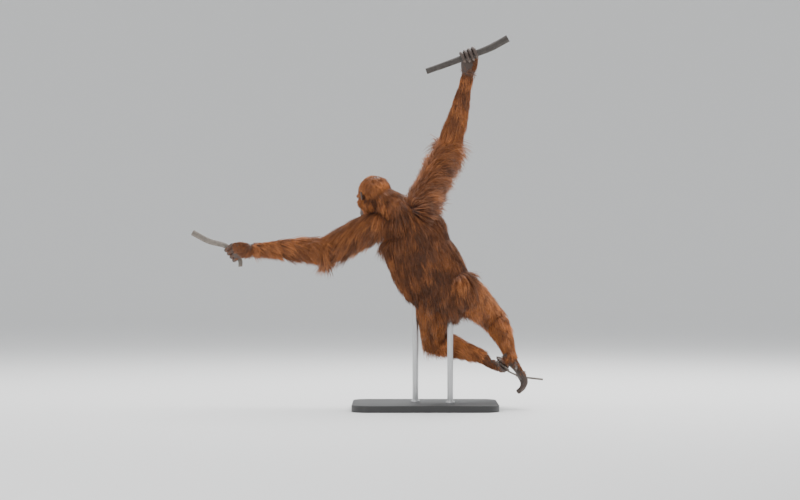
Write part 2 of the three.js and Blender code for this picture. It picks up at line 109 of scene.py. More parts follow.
pelvis = vec(88, -30, 520)
hip = {
    "left": pelvis + HIPS_APART * 0.48 * heading(-1, 0.1, 0),
    "right": pelvis + HIPS_APART * 0.52 * heading(1, -0.05, 0.14),
}
knee = {
    "left": hip["left"] + FEMUR * heading(0.03, 0.55, -0.83),
    "right": hip["right"] + FEMUR * heading(0.57, 0.67, -0.46),
}
ankle = {
    "left": knee["left"] + SHIN * heading(0.94, -0.03, -0.34),
    "right": knee["right"] + SHIN * heading(0.36, -0.46, -0.8),
}
chest = pelvis + vec(-150, 32, 285)
nape = pelvis + vec(-200, 12, 400)
between_shoulders = pelvis + vec(-184, 22, 352)
across_shoulders = heading(-0.86, 0.36, -0.36)
shoulder = {
    "left": between_shoulders + SHOULDERS_APART * 0.5 * across_shoulders,
    "right": between_shoulders - SHOULDERS_APART * 0.5 * across_shoulders,
}
elbow = {
    "left": shoulder["left"] + HUMERUS * heading(-0.875, 0.19, -0.44),
    "right": shoulder["right"] + HUMERUS * heading(0.39, 0.4, 0.83),
}
wrist = {
    "left": elbow["left"] + FOREARM * heading(-0.999, -0.03, 0.0),
    "right": elbow["right"] + FOREARM * heading(0.255, -0.11, 0.96),
}
head_centre = pelvis + vec(-311, 82, 437)
FACE = heading(-0.42, 0.87, -0.25)
RIGHT = unit(np.cross(FACE, vec(-0.06, 0, 1)))
CROWN = np.cross(RIGHT, FACE)
HEAD_AXES = np.array([RIGHT, FACE, CROWN])
SIDES = {"left": -1, "right": 1}


def in_head(p):
    """Places given as right, forward and up of the middle of the skull, in the frame."""
    return head_centre + np.asarray(p, float) @ HEAD_AXES


print("shoulders:", shoulder["left"].round(), shoulder["right"].round())

# %% [markdown]
# A limb is a bent, tapered tube, so one class makes most of the body: a smooth path through a few
# stations, each with a half width and a half depth. The same class also says where the surface is
# at any place on the tube, which the fur needs later.


# %% A tapered form along a path
def smooth_through(points, t):
    """Places and slopes at t, from 0 to 1, on a smooth curve through the points."""
    p = np.asarray(points, float)
    p = np.vstack([2 * p[0] - p[1], p, 2 * p[-1] - p[-2]])
    x = np.clip(t, 0, 1) * (len(p) - 3)
    i = np.minimum(x.astype(int), len(p) - 4)
    u = (x - i)[:, None]
    a, b, c, d = p[i], p[i + 1], p[i + 2], p[i + 3]
    k2, k3 = 2 * a - 5 * b + 4 * c - d, 3 * b - a - 3 * c + d
    place = 0.5 * (2 * b + (c - a) * u + k2 * u**2 + k3 * u**3)
    slope = 0.5 * (c - a + 2 * k2 * u + 3 * k3 * u**2)
    return place, slope


def unit_rows(v):
    return v / np.maximum(np.linalg.norm(v, axis=1, keepdims=True), 1e-9)


ROUND_END = ((1.0, 0.0), (0.92, 0.4), (0.69, 0.72), (0.38, 0.92))  # how far out, and how wide
END_REACH = 0.8  # how far a round end reaches past the last station, as a share of the girth there


class Form:
    """A bent tube through stations, each a place, a half width and a half depth."""

    def __init__(self, stations, side):
        self.points = np.array([s[0] for s in stations], float)
        self.sizes = np.array([s[1:] for s in stations], float)
        self.side = np.asarray(side, float)

    def section(self, t):
        t = np.atleast_1d(np.asarray(t, float))
        point, slope = smooth_through(self.points, t)
        size, _ = smooth_through(self.sizes, t)
        along = unit_rows(slope)
        side = unit_rows(self.side - (along @ self.side)[:, None] * along)
        return point, along, side, np.cross(along, side), size[:, :1], size[:, 1:]

    def surface(self, t, a, grow=0.0):
        """Places on the surface at t along and angle a round, with the way out and the way along."""
        point, along, side, front, w, d = self.section(t)
        c, s = np.cos(a)[:, None], np.sin(a)[:, None]
        out = unit_rows(side * c / w + front * s / d)
        return point + side * c * w + front * s * d + out * grow, out, along

    def rings(self, count, around):
        """The vertices and faces of the closed tube, with round ends."""
        a = np.arange(around) * 2 * np.pi / around
        t = np.linspace(0, 1, count)
        point, along, side, front, w, d = self.section(t)
        reach = np.minimum(w, d) * END_REACH
        stack = [(0, -lift, scale) for lift, scale in ROUND_END]
        stack += [(i, 0.0, 1.0) for i in range(count)]
        stack += [(count - 1, lift, scale) for lift, scale in reversed(ROUND_END)]
        rows = []
        for i, lift, scale in stack:
            centre = point[i] + along[i] * lift * reach[i]
            if scale == 0.0:
                rows.append(centre[None, :])
                continue
            spread = side[i] * np.cos(a)[:, None] * w[i] + front[i] * np.sin(a)[:, None] * d[i]
            rows.append(centre + spread * scale)
        return rows_to_mesh(rows, around)


def rows_to_mesh(rows, around):
    """A closed mesh of rings between two poles, with its faces outwards."""
    verts = np.vstack(rows)
    last = len(verts) - 1
    j = np.arange(around)
    k = (j + 1) % around
    faces = [np.stack([np.zeros(around, int), 1 + k, 1 + j], 1)]
    for i in range(len(rows) - 3):
        a, b = 1 + i * around, 1 + (i + 1) * around
        faces += [np.stack([a + j, a + k, b + k], 1), np.stack([a + j, b + k, b + j], 1)]
    a = 1 + (len(rows) - 3) * around
    faces.append(np.stack([np.full(around, last), a + j, a + k], 1))
    return verts, np.vstack(faces)


def mesh_object(name, parts):
    """One object from several (vertices in mm, triangles), at the origin."""
    shift, verts, faces = 0, [], []
    for v, f in parts:
        verts.append(v)
        faces.append(f + shift)
        shift += len(v)
    verts, faces = np.vstack(verts) * MM, np.vstack(faces)
    mesh = bpy.data.meshes.new(name)
    mesh.vertices.add(len(verts))
    mesh.vertices.foreach_set("co", verts.astype(np.float32).ravel())
    mesh.loops.add(faces.size)
    mesh.loops.foreach_set("vertex_index", faces.astype(np.int32).ravel())
    mesh.polygons.add(len(faces))
    mesh.polygons.foreach_set("loop_start", np.arange(len(faces), dtype=np.int32) * 3)
    mesh.update(calc_edges=True)
    mesh.polygons.foreach_set("use_smooth", np.ones(len(faces), bool))
    made = bpy.data.objects.new(name, mesh)
    bpy.context.scene.collection.objects.link(made)
    return made


def select_only(*objects):
    bpy.ops.object.select_all(action="DESELECT")
    for o in objects:
        o.select_set(True)
    bpy.context.view_layer.objects.active = objects[0]


def apply_modifier(obj, kind, **settings):
    """Adds a modifier with these settings and applies it at once."""
    select_only(obj)
    modifier = obj.modifiers.new(kind.lower(), kind)
    for key, value in settings.items():
        setattr(modifier, key, value)
    bpy.ops.object.modifier_apply(modifier=modifier.name)


def places_of(obj):
    """The places of an object's vertices, in metres."""
    co = np.empty(len(obj.data.vertices) * 3)
    obj.data.vertices.foreach_get("co", co)
    return co.reshape(-1, 3)


def move_to(obj, places):
    """Puts an object's vertices at these places, in mm."""
    obj.data.vertices.foreach_set("co", (places * MM).astype(np.float32).ravel())


def triangles_in(obj):
    """The vertex numbers of an object's triangles."""
    obj.data.calc_loop_triangles()
    index = np.empty(len(obj.data.loop_triangles) * 3, int)
    obj.data.loop_triangles.foreach_get("vertices", index)
    return index.reshape(-1, 3)


def new_sphere(segments, rings):
    bpy.ops.mesh.primitive_uv_sphere_add(segments=segments, ring_count=rings, radius=1, location=(0, 0, 0))
    return bpy.context.object


def face_outwards(obj):
    select_only(obj)
    bpy.ops.object.mode_set(mode="EDIT")
    bpy.ops.mesh.select_all(action="SELECT")
    bpy.ops.mesh.normals_make_consistent(inside=False)
    bpy.ops.object.mode_set(mode="OBJECT")


# %% [markdown]
# Flesh under the coat. The trunk is widest at the belly, the shoulders and buttocks are masses of
# their own, and the arms are much longer and stronger than the legs.

# %% The forms of the body
X, Y, Z = np.eye(3)

UPPER_ARM = [(0.04, 50, 50), (0.3, 46, 46), (0.62, 39, 40), (0.88, 33, 35), (1, 34, 34)]
FOREARM_SHAPE = [(0, 32, 33), (0.2, 37, 36), (0.5, 31, 30), (0.8, 23, 21), (1, 25, 18)]
THIGH = [(-0.06, 66, 66), (0.25, 62, 60), (0.6, 50, 50), (0.88, 40, 42), (1, 38, 40)]
SHIN_SHAPE = [(0, 37, 38), (0.25, 37, 38), (0.6, 28, 29), (0.88, 22, 23), (1, 22, 23)]


def limb(start, end, profile, side, bow=vec(0, 0, 0)):
    stations = []
    for t, w, d in profile:
        bulge = bow * math.sin(math.pi * min(1, max(0, t)))
        stations.append((start + (end - start) * t + bulge, w, d))
    return Form(stations, side)


def arm_way(s):
    return unit(elbow[s] - shoulder[s])


trunk = Form(
    [
        (pelvis + vec(22, -4, -42), 74, 66),
        (pelvis + vec(-4, 2, 10), 112, 92),
        (pelvis + vec(-70, 26, 98), 134, 114),
        (pelvis + vec(-122, 36, 190), 132, 112),
        (chest + vec(0, 0, -12), 124, 102),
        (pelvis + vec(-180, 22, 322), 98, 78),
        (pelvis + vec(-196, 18, 352), 60, 52),
    ],
    X,
)
neck = Form(
    [
        (nape + vec(14, 10, -62), 60, 56),
        (nape + (head_centre - nape) * 0.42 + vec(0, 4, -34), 54, 52),
        (in_head((0, -8, -36)), 48, 52),
    ],
    RIGHT,
)
masses = {}
for side_name in SIDES:
    start, way = shoulder[side_name], arm_way(side_name)
    masses["shoulder_" + side_name] = Form(
        [(start - 46 * way, 54, 50), (start + 6 * way, 56, 54), (start + 62 * way, 48, 48)], Y
    )
    joint, sign = hip[side_name], SIDES[side_name]
    masses["buttock_" + side_name] = Form(
        [(joint + vec(0, -34, 34), 52, 50), (joint + vec(sign * 8, -30, -12), 56, 52)], X
    )
limbs = {
    "upper_arm_left": limb(shoulder["left"], elbow["left"], UPPER_ARM, Y),
    "upper_arm_right": limb(shoulder["right"], elbow["right"], UPPER_ARM, Y),
    "forearm_left": limb(
        elbow["left"], wrist["left"], FOREARM_SHAPE, heading(0.3, 0.2, 1), vec(0, 0, 4)
    ),
    "forearm_right": limb(elbow["right"], wrist["right"], FOREARM_SHAPE, X, vec(6, 0, 0)),
    "thigh_left": limb(hip["left"], knee["left"], THIGH, X),
    "thigh_right": limb(hip["right"], knee["right"], THIGH, heading(1, 0, 1), vec(4, 0, 6)),
    "shin_left": limb(knee["left"], ankle["left"], SHIN_SHAPE, Y),
    "shin_right": limb(knee["right"], ankle["right"], SHIN_SHAPE, X, vec(8, 0, 4)),
}
body_forms = {"trunk": trunk, "neck": neck, **masses, **limbs}
print("forms of flesh:", len(body_forms))

# %% [markdown]
# The hands and feet grip. Four digits start beside the bar on the palm's side and wrap round it on
# arcs, and the thumb or great toe closes from the other side. The right foot hangs half open.


# %% Hands and feet
def bar(points, r0, r1):
    radii = np.linspace(r0, r1, len(points))
    return Form([(p, r, r) for p, r in zip(points, radii)], Y)


branch_at = wrist["right"] + (PALM_LENGTH + 2) * heading(0.07, -0.42, 0.9)
branch_way = heading(0.92, 0, 0.39)
liana_at = wrist["left"] + (PALM_LENGTH - 8) * heading(-0.95, 0.3, -0.17)
liana_way = heading(0.62, 0.0, -0.78)
foot_way = heading(0.66, 0.5, -0.56)
twig_way = unit(heading(-0.42, 0.86, 0.28) - 0.004 * foot_way)
sole_way = -np.cross(twig_way, foot_way)
twig_at = ankle["left"] + (SOLE_LENGTH - 4) * foot_way + 26 * sole_way


def digit(stations, side, out):
    """One finger or toe: its form, and the way its nail faces."""
    return {"form": Form(stations, side), "nail": out}


CURL_STEPS = 9
TIP_TAPER, KNUCKLE_SWELL = 0.28, 0.07
TOE_BONES, TOE_BONE, TOE_BEND = 3, 26, 34  # how many, how long, and the bend at each in degrees


def curled_digit(centre, palm, reach, r, back, curl, along):
    """A digit that starts beside the bar on the palm's side and wraps round it."""
    stations = [(centre + r * palm - back * reach, DIGIT_R * 1.04, DIGIT_R * 1.04)]
    for i in range(CURL_STEPS + 1):
        a = math.radians(curl) * i / CURL_STEPS
        swell = 1 + KNUCKLE_SWELL * math.cos(2 * math.pi * 3 * i / CURL_STEPS)
        size = DIGIT_R * (1.0 - TIP_TAPER * i / CURL_STEPS) * swell
        stations.append((centre + math.cos(a) * r * palm + math.sin(a) * r * reach, size, size))
    end = math.radians(curl)
    return digit(stations, along, math.cos(end) * palm + math.sin(end) * reach)


def half_open_toe(p, way, sole, across, size):
    stations = [(p - 18 * way, DIGIT_R * 1.08, DIGIT_R * 1.08)]
    for i in range(TOE_BONES + 1):
        r = DIGIT_R * (1.03 - 0.09 * i)
        stations.append((p.copy(), r, r))
        a = math.radians(TOE_BEND) * (i + 0.3)
        p = p + (math.cos(a) * way + math.sin(a) * sole) * TOE_BONE * size
    return digit(stations, across, math.sin(a) * way - math.cos(a) * sole)


def thumb_digit(root, tip, half_way_r, side, nail):
    """A thumb or great toe, tapering from its root to its tip."""
    bend = root + (tip - root) * 0.6
    return digit([(root, 11, 11), (bend, half_way_r, half_way_r), (tip, 7.5, 7.5)], side, nail)


def grip(start, at, along, palm, bar_r, fill, back, width, curls, thumb, heel=None):
    """A hand or foot that starts at a joint and is closed on a bar."""
    reach = unit(np.cross(along, palm))
    if reach @ (at - start) < 0:
        reach = -reach
    r = bar_r + DIGIT_R + fill
    knuckles = at + (r + 3) * palm - 8 * reach
    middle = start + (knuckles - start) * 0.52 + 3 * palm
    pads = [Form([(start, width * 0.66, 20), (middle, width * 0.94, 18), (knuckles, width, 12)], along)]
    if heel:
        pads.append(Form([(start - 12 * reach - heel * palm, 17, 17), (start + 18 * reach, 23, 21)], along))
    digits = []
    for k, curl in enumerate(curls):
        centre = at + (k - (len(curls) - 1) / 2) * DIGIT_PITCH * along
        digits.append(curled_digit(centre, palm, reach, r, back, curl, along))
    root = start + (middle - start) * 0.75 - width * 0.5 * along - 4 * palm
    tip = root - thumb * 0.62 * along + thumb * 0.66 * reach - 12 * palm
    digits.append(thumb_digit(root, tip, 10, palm, palm))
    return {"pads": pads, "digits": digits}


def hanging_foot():
    way, sole = heading(0.5, -0.05, -0.86), heading(-0.84, -0.3, -0.46)
    across = unit(np.cross(way, sole))
    start = ankle["right"]
    ball = start + (SOLE_LENGTH - 12) * way
    stations = [
        (start - 15 * way + 16 * sole, 17, 18),
        (start + 12 * way + 8 * sole, 25, 22),
        (start + 58 * way + 1 * sole, 32, 15),
        (ball, 36, 12),
    ]
    digits = []
    for k, size in enumerate((0.86, 1, 0.97, 0.88)):
        first = ball + (k - 1.5) * DIGIT_PITCH * across
        digits.append(half_open_toe(first, way, sole, across, size))
    root = start + 34 * way + 5 * sole - 24 * across
    tip = root + 22 * way + 20 * sole - 22 * across
    digits.append(thumb_digit(root, tip, 9.5, sole, -across))
    return {"pads": [Form(stations, across)], "digits": digits}


extremities = {
    "hand_right": grip(
        wrist["right"], branch_at, -branch_way, Y, BRANCH_R, 1, 16, 37, (222, 236, 232, 214), 46
    ),
    "hand_left": grip(
        wrist["left"], liana_at, liana_way, -Y, LIANA_R, 2, 16, 37, (226, 244, 240, 222), 46
    ),
    "foot_left": grip(
        ankle["left"], twig_at, twig_way, -sole_way, TWIG_R, 6.5, 26, 35, (228, 246, 242, 226), 42, 7
    ),
    "foot_right": hanging_foot(),
}
print("digits:", sum(len(e["digits"]) for e in extremities.values()))

# %% [markdown]
# The head is the part people look at longest. It is a smooth blend of ellipsoids, written as one
# function that is below zero inside the flesh, so that brow, cheeks, muzzle, nostrils, lips and
# lids all run into each other as skin does. A fine sphere is then drawn in onto it from outside.

# %% The head as a blend of lumps
LUMPS = [  # right, forward, up, and the half sizes the same way
    (0, 0, 0, 63, 75, 67),
    (0, 34, -34, 60, 44, 54),
    (0, 76, -58, 40, 46, 34),
    (0, 60, -84, 35, 48, 27),
    (0, 20, -72, 50, 46, 38),
    (40, 40, -32, 20, 22, 15),
    (-40, 40, -32, 20, 22, 15),
    (24, 60, 6, 24, 16, 10),
    (-24, 60, 6, 24, 16, 10),
    (0, 102, -72, 31, 27, 22),
]
HOLLOWS = [(27, 84, -17, 17, 15, 14), (-27, 84, -17, 17, 15, 14)]
BLEND = 16
NOSE_UP = -40
EYES = {"left": vec(-27, 68, -17), "right": vec(27, 68, -17)}


def outside(lump, p):
    """About how far places are outside an ellipsoid, and below zero inside it."""
    q = (p - np.array(lump[:3])) / np.array(lump[3:])
    k = np.linalg.norm(q, axis=1)
    slope = np.linalg.norm(q / np.array(lump[3:]), axis=1)
    return k * (k - 1) / np.maximum(slope, 1e-9)


def blend_min(a, b, width):
    """The lesser of two fields, with a smooth turn where they are within a width of each other."""
    h = np.maximum(width - np.abs(a - b), 0) / width
    return np.minimum(a, b) - h * h * width / 4


def skull_field(p):
    f = outside(LUMPS[0], p)
    for lump in LUMPS[1:]:
        f = blend_min(f, outside(lump, p), BLEND)
    for hollow in HOLLOWS:
        f = -blend_min(-f, outside(hollow, p), BLEND)
    return f


def front_at(right, up):
    """How far forward the plain face reaches at a place seen from the front."""
    near, far = np.full(1, 20.0), np.full(1, 170.0)
    for _ in range(24):
        f = (near + far) / 2
        inside = skull_field(np.array([[right, f[0], up]]))[0] < 0
        near, far = (f, far) if inside else (near, f)
    return float(near[0])


NOSE_F = front_at(8, NOSE_UP)
MOUTH_UP, MOUTH_HALF = -77.0, 33.0


def ridge(distance, width):
    """1 at no distance, and nearly 0 beyond twice the width."""
    return np.exp(-((distance / width) ** 2))


def add_nose(field, p):
    for s in (-1, 1):
        field = blend_min(field, outside((s * 10, NOSE_F - 4, NOSE_UP - 0.5, 9, 9, 7), p), 4)
    return blend_min(field, outside((0, NOSE_F - 5, NOSE_UP + 5, 6, 9, 11), p), 6)


def add_lips(field, from_line, on_lips):
    """Two low rolls across the muzzle that meet at the mouth line."""
    roll = ridge(from_line - 5.5, 4.5) + 0.9 * ridge(from_line + 6, 4.5)
    return field - 2.6 * roll * on_lips + 5.5 * ridge(from_line, 1.5) * on_lips


def add_lids(field, p, eye, s):
    """A lid over the eye, with an almond shaped opening, a little higher at its outer corner."""
    field = blend_min(field, np.linalg.norm(p - eye, axis=1) - (EYE_R + 2.6), 4)
    beside, ahead, above = (p - eye).T
    tilt = beside * s * 0.10
    q = np.stack([beside / 11.5, (above - tilt) / 6.4], 1)
    almond = (np.sqrt((np.abs(q) ** 1.8).sum(1)) - 1) * 5.0
    return np.maximum(field, -np.maximum(almond, 4 - ahead))


def add_folds(field, p, eye):
    """Folds round the eye, deepest under it."""
    beside, _, above = (p - eye).T
    d = np.hypot(beside, above * 1.25)
    fold = ridge(d - 22, 7) * np.cos((d - 16) * 1.35 + 0.5 * np.sin(p[:, 0] * 0.3))
    below = np.clip(0.75 - above / 30, 0.3, 1.5)
    return field + 0.75 * fold * below * np.clip((p[:, 1] - 40) / 15, 0, 1)


def add_side_of_nose(field, p, s):
    """A nostril, and a soft fold from the wing of the nose down round the cheek."""
    r, _, u = p.T
    nostril = outside((s * 8.2, NOSE_F + 3.5, NOSE_UP - 1, 4.2, 7.5, 3.0), p)
    bend = s * r - 22 - 0.5 * (NOSE_UP + 8 - u) + 0.004 * (u + 62) ** 2
    return np.maximum(field, -nostril) + 1.3 * ridge(bend, 2.6) * np.clip(1 - np.abs(u + 56) / 22, 0, 1)


def creases(p, from_line, on_lips):
    """Fine lines that fan out over both lips, cross the bridge of the nose and furrow the brow."""
    r, f, u = p.T
    fan = np.cos(r * 1.15 + 1.4 * np.sin(r * 0.21)) + 0.6 * np.cos(r * 0.53 + u * 0.08)
    bridge = np.cos((u + 12) * 1.1) * ridge(r, 11) * ridge(u + 16, 12)
    brow = np.cos((u - 0.012 * r**2) * 1.25) * ridge(r, 30) * ridge(u - 14, 9)
    upper = (0.4 * bridge + 0.35 * brow) * np.clip((f - 50) / 15, 0, 1)
    return 0.3 * fan * ridge(from_line, 15) * on_lips + upper


def face_field(p):
    """The whole face: the skull's blend with nose, lips, lids and the fine folds."""
    r, f, u = p.T
    from_line = u - (MOUTH_UP + 4 * (r / MOUTH_HALF) ** 2)
    on_lips = np.clip(1 - (r / (MOUTH_HALF + 3)) ** 4, 0, 1) * np.clip((f - 70) / 20, 0, 1)
    field = add_lips(add_nose(skull_field(p), p), from_line, on_lips)
    for s, eye in zip((-1, 1), (EYES["left"], EYES["right"])):
        field = add_folds(add_lids(field, p, eye, s), p, eye)
        field = add_side_of_nose(field, p, s)
    return field + creases(p, from_line, on_lips)


HEAD_MIDDLE = vec(0, 34, -34)
CROWDING = 1.3  # above 1, the faces crowd towards the front
FAR_OUT, TOO_DEEP, STRIDE = 146.0, 16.0, 2.0


def crowd_forward(way):
    """Turns ways from the middle towards the front of the face, where the detail is."""
    front = unit(vec(0, 1, -0.1))
    angle = np.arccos(np.clip(way @ front, -1, 1))
    crowded = np.pi * (angle / np.pi) ** CROWDING
    aside = unit_rows(way - (way @ front)[:, None] * front)
    return np.cos(crowded)[:, None] * front + np.sin(crowded)[:, None] * aside


def walk_in(way):
    """How far out the flesh first starts along each way, found by strides and then by halving."""
    near, far = np.zeros(len(way)), np.full(len(way), FAR_OUT + 4)
    open_air = np.ones(len(way), bool)
    for s in np.arange(FAR_OUT, TOO_DEEP, -STRIDE):
        inside = face_field(HEAD_MIDDLE + way * s) < 0
        found = open_air & inside
        near[found], far[found] = s, s + STRIDE
        open_air &= ~inside
        if not open_air.any():
            break
    for _ in range(8):
        s = (near + far) / 2
        inside = face_field(HEAD_MIDDLE + way * s[:, None]) < 0
        near, far = np.where(inside, s, near), np.where(inside, far, s)
    return near


def head_mesh(levels):
    """A sphere drawn in from outside onto the face."""
    bpy.ops.mesh.primitive_ico_sphere_add(subdivisions=levels, radius=1, location=(0, 0, 0))
    ball = bpy.context.object
    way, faces = crowd_forward(unit_rows(places_of(ball))), triangles_in(ball)
    bpy.data.objects.remove(ball)
    return HEAD_MIDDLE + way * walk_in(way)[:, None], faces


HEAD_LEVELS = 7
head_local, head_faces = head_mesh(HEAD_LEVELS)
head_verts = in_head(head_local)
print("head:", len(head_faces), "faces")


# %% [markdown]
# An orangutan's ear is small, round and set close to the head: a sphere pressed flat, with its
# outer side pushed in to a cup and a rolled rim left round it.


# %% Ears
EAR_HALF = vec(13, 6, 19)
CUP_DEPTH, RIM_RISE = 8.5, 1.2


def ear_mesh(s):
    ball = new_sphere(40, 28)
    co, faces = places_of(ball), triangles_in(ball)
    bpy.data.objects.remove(ball)
    out = unit(RIGHT * s * 0.86 + FACE * 0.5)
    up = unit(CROWN - (CROWN @ out) * out)
    axes = np.array([np.cross(out, up), out, up])
    rim, outer = np.hypot(co[:, 0], co[:, 2]), co[:, 1] > 0
    cup = np.where(outer, np.clip(1 - (rim / 0.78) ** 2, 0, 1), 0)
    shaped = co * EAR_HALF
    shaped[:, 1] = shaped[:, 1] - CUP_DEPTH * cup + RIM_RISE * ridge(rim - 0.88, 0.1) * outer
    return in_head((s * 66, -2, -16)) + shaped @ axes, faces


ears = [ear_mesh(s) for s in (-1, 1)]

# %% [markdown]
# The flesh becomes one skin. The overlapping tubes are remeshed into a single surface with small
# even faces and then smoothed, as if clay had been laid over them. The hands and feet get a finer
# remesh, so that every finger stays apart, and they run up under the fur of the wrist and ankle.

# %% One skin
VOXEL_BODY, VOXEL_HAND = ((0.0032, 0.0013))
KEPT_FACES = 0.2  # of the remeshed surface, which has far more than it needs


def remeshed(name, parts, voxel, smooth_steps):
    obj = mesh_object(name, parts)
    obj.data.remesh_voxel_size = voxel
    obj.data.use_remesh_preserve_volume = True
    select_only(obj)
    bpy.ops.object.voxel_remesh()
    apply_modifier(obj, "SMOOTH", factor=0.5, iterations=smooth_steps)
    apply_modifier(obj, "DECIMATE", ratio=KEPT_FACES)
    return obj


def triangle_count(obj):
    return sum(len(p.vertices) - 2 for p in obj.data.polygons)


body = remeshed("body", [f.rings(40, 32) for f in body_forms.values()], VOXEL_BODY, 14)
pieces_of_skin = [body]
for name, hand in extremities.items():
    tubes = [f.rings(24, 24) for f in hand["pads"]]
    tubes += [d["form"].rings(40, 20) for d in hand["digits"]]
    pieces_of_skin.append(remeshed(name, tubes, VOXEL_HAND, 3))
pieces_of_skin.append(mesh_object("head_skin", [(head_verts, head_faces), *ears]))
for piece in pieces_of_skin:
    print(piece.name, triangle_count(piece), "triangles")

# %% [markdown]
# Fur hides the skin nearly everywhere, so a value on each vertex tells the material where the skin
# is bare: on the face, the ears, the hands and the feet. A second value marks where it is pale.

# %% Where the skin is bare
def add_values(obj, name, values):
    layer = obj.data.attributes.new(name, "FLOAT", "POINT")
    layer.data.foreach_set("value", np.asarray(values, np.float32))


FACE_CENTRE, FACE_HALF = vec(0, 0, -34), (52.0, 60.0)


def face_oval(local):
    """1 on the hairline round the face, less within it."""
    return np.hypot(local[:, 0] / FACE_HALF[0], (local[:, 2] - FACE_CENTRE[2]) / FACE_HALF[1])


def bareness(local):
    """1 on the bare face, falling to 0 where the head's hair starts."""
    f, u = local[:, 1], local[:, 2]
    face = np.clip((1.05 - face_oval(local)) / 0.12, 0, 1) * np.clip((f - 22) / 12, 0, 1)
    return np.maximum(face, np.clip((f - 78) / 8, 0, 1) * (u > -92) * (u < 8))


def paleness(local):
    """1 round the eyes and less on the muzzle, where bare skin is lighter."""
    rounds = []
    for eye in EYES.values():
        d = np.hypot(local[:, 0] - eye[0], (local[:, 2] - eye[2]) * 1.1)
        rounds.append(np.exp(-((d / 19) ** 4)))
    muzzle = np.exp(-(((local[:, 2] + 70) / 26) ** 4)) * np.clip((local[:, 1] - 84) / 24, 0, 1)
    return np.clip(np.maximum(*rounds) + 0.5 * muzzle, 0, 1)


head_piece = pieces_of_skin[-1]
for piece in pieces_of_skin:
    bare = np.full(len(piece.data.vertices), 0.0 if piece is body else 1.0)
    pale = np.zeros(len(bare))
    if piece is head_piece:
        local = (places_of(piece) / MM - head_centre) @ HEAD_AXES.T
        bare[: len(head_verts)] = bareness(local)[: len(head_verts)]
        pale = paleness(local) * bare
    add_values(piece, "pale", pale)
    add_values(piece, "bare", bare)
print("bare vertices:", [int((bareness(head_local) > 0.5).sum()), "of", len(head_local), "on the head"])

# %% [markdown]
# The coat is long, coarse and shaggy. Each tuft is a thin, tapered prism of few faces that starts in
# the skin, leans the way the hair lies, and sags under its own weight. Neighbouring tufts draw
# together at their tips into locks, as an orangutan's hair does. All of it is seeded, so every
# run gives the same coat.

# %% Tufts of hair
rng = np.random.default_rng(5127)
DOWN = vec(0, 0, -1)
SPINE_STEPS = 5
ROOT_SUNK = 3.0
RING_AT = (0.0, 0.34, 0.7)  # how far along a tuft its three rings are, before the tip
RING_SIZE = (0.75, 1.0, 0.72)
RING_TURNS = (math.pi / 2, math.pi * 7 / 6, math.pi * 11 / 6)
RING_DEPTHS = (0.55, 0.45, 0.45)
ALONG = (0, 0, 0, 0.35, 0.35, 0.35, 0.7, 0.7, 0.7, 1.0)  # for each corner of a tuft, for its colour
UV_PATCH = 0.003
TUFT_UV = UV_PATCH * np.array(
    [
        (-0.5, -0.5), (0.5, -0.5), (0.5, -0.3), (-0.5, 0), (0.5, 0),
        (0.5, 0.1), (-0.4, 0.3), (0.4, 0.3), (0.3, 0.4), (0.0, 0.5),
    ]
)


def tuft_faces():
    """The faces of one tuft: two bands between its three rings, the tip, and the closed root."""
    faces = []
    for first in (0, 3):
        for j in range(3):
            a, b = first + j, first + (j + 1) % 3
            faces += [(a, b, b + 3), (a, b + 3, a + 3)]
    faces += [(6 + j, 6 + (j + 1) % 3, 9) for j in range(3)]
    return np.array([*faces, (0, 2, 1)])


class Hair:
    """Tufts as arrays: places, ways and sizes, gathered before they become one mesh."""

    def __init__(self):
        self.rows = {}

    def add(self, **values):
        for key, value in values.items():
            self.rows.setdefault(key, []).append(np.asarray(value, float))

    def mesh(self, name):
        h = {key: np.concatenate(rows) for key, rows in self.rows.items()}
        corners = tuft_corners(h, tuft_spines(h))
        count, many = corners.shape[:2]
        faces = tuft_faces()[None] + (np.arange(count) * many)[:, None, None]
        made = mesh_object(name, [(corners.reshape(-1, 3), faces.reshape(-1, 3))])
        uv = (h["uv"][:, None, :] + TUFT_UV[None]).reshape(-1, 2)
        corner = np.empty(len(made.data.loops), int)
        made.data.loops.foreach_get("vertex_index", corner)
        layer = made.data.uv_layers.new(name="OFBake")
        layer.data.foreach_set("uv", uv[corner].astype(np.float32).ravel())
        add_values(made, "along", np.tile(ALONG, count))
        # Painted shade with random tone: each tuft's base brightness, darkest on the back.
        add_values(made, "tone", np.repeat(h["tone"], many))
        return made


def tuft_spines(h):
    """Places along each tuft as it leans, sags and waves a little."""
    gravity = DOWN - np.minimum(h["out"] @ DOWN, 0.0)[:, None] * h["out"]
    step = h["length"][:, None] / SPINE_STEPS
    spine, place = [h["root"] - ROOT_SUNK * h["out"]], h["root"].copy()
    wave = unit_rows(rng.normal(size=h["root"].shape))
    for k in range(SPINE_STEPS):
        s = (k + 0.5) / SPINE_STEPS
        lift, sag = h["lift"] * (1 - 1.5 * s), h["sag"] * s * 1.6
        way = h["lie"] + h["out"] * lift[:, None] + gravity * sag[:, None]
        way = way + wave * 0.10 * math.sin(6.0 * s)
        place = place + unit_rows(way) * step
        spine.append(place + h["pull"] * (s + 0.1) ** 2)
    return np.stack(spine, 1)


def tuft_corners(h, spine):
    """The three rings of three corners and the tip of each tuft."""
    at = [smooth_rows(spine, s) for s in (*RING_AT, 1.0)]
    along = unit_rows(at[3] - at[0])
    across = unit_rows(np.cross(along, h["out"]))
    up = np.cross(across, along)
    width = h["width"][:, None] / 2
    corners = []
    for middle, size in zip(at, RING_SIZE):
        for turn, depth in zip(RING_TURNS, RING_DEPTHS):
            offset = across * math.cos(turn) + up * math.sin(turn) * depth
            corners.append(middle + offset * width * size)
    return np.stack([*corners, at[3]], 1)


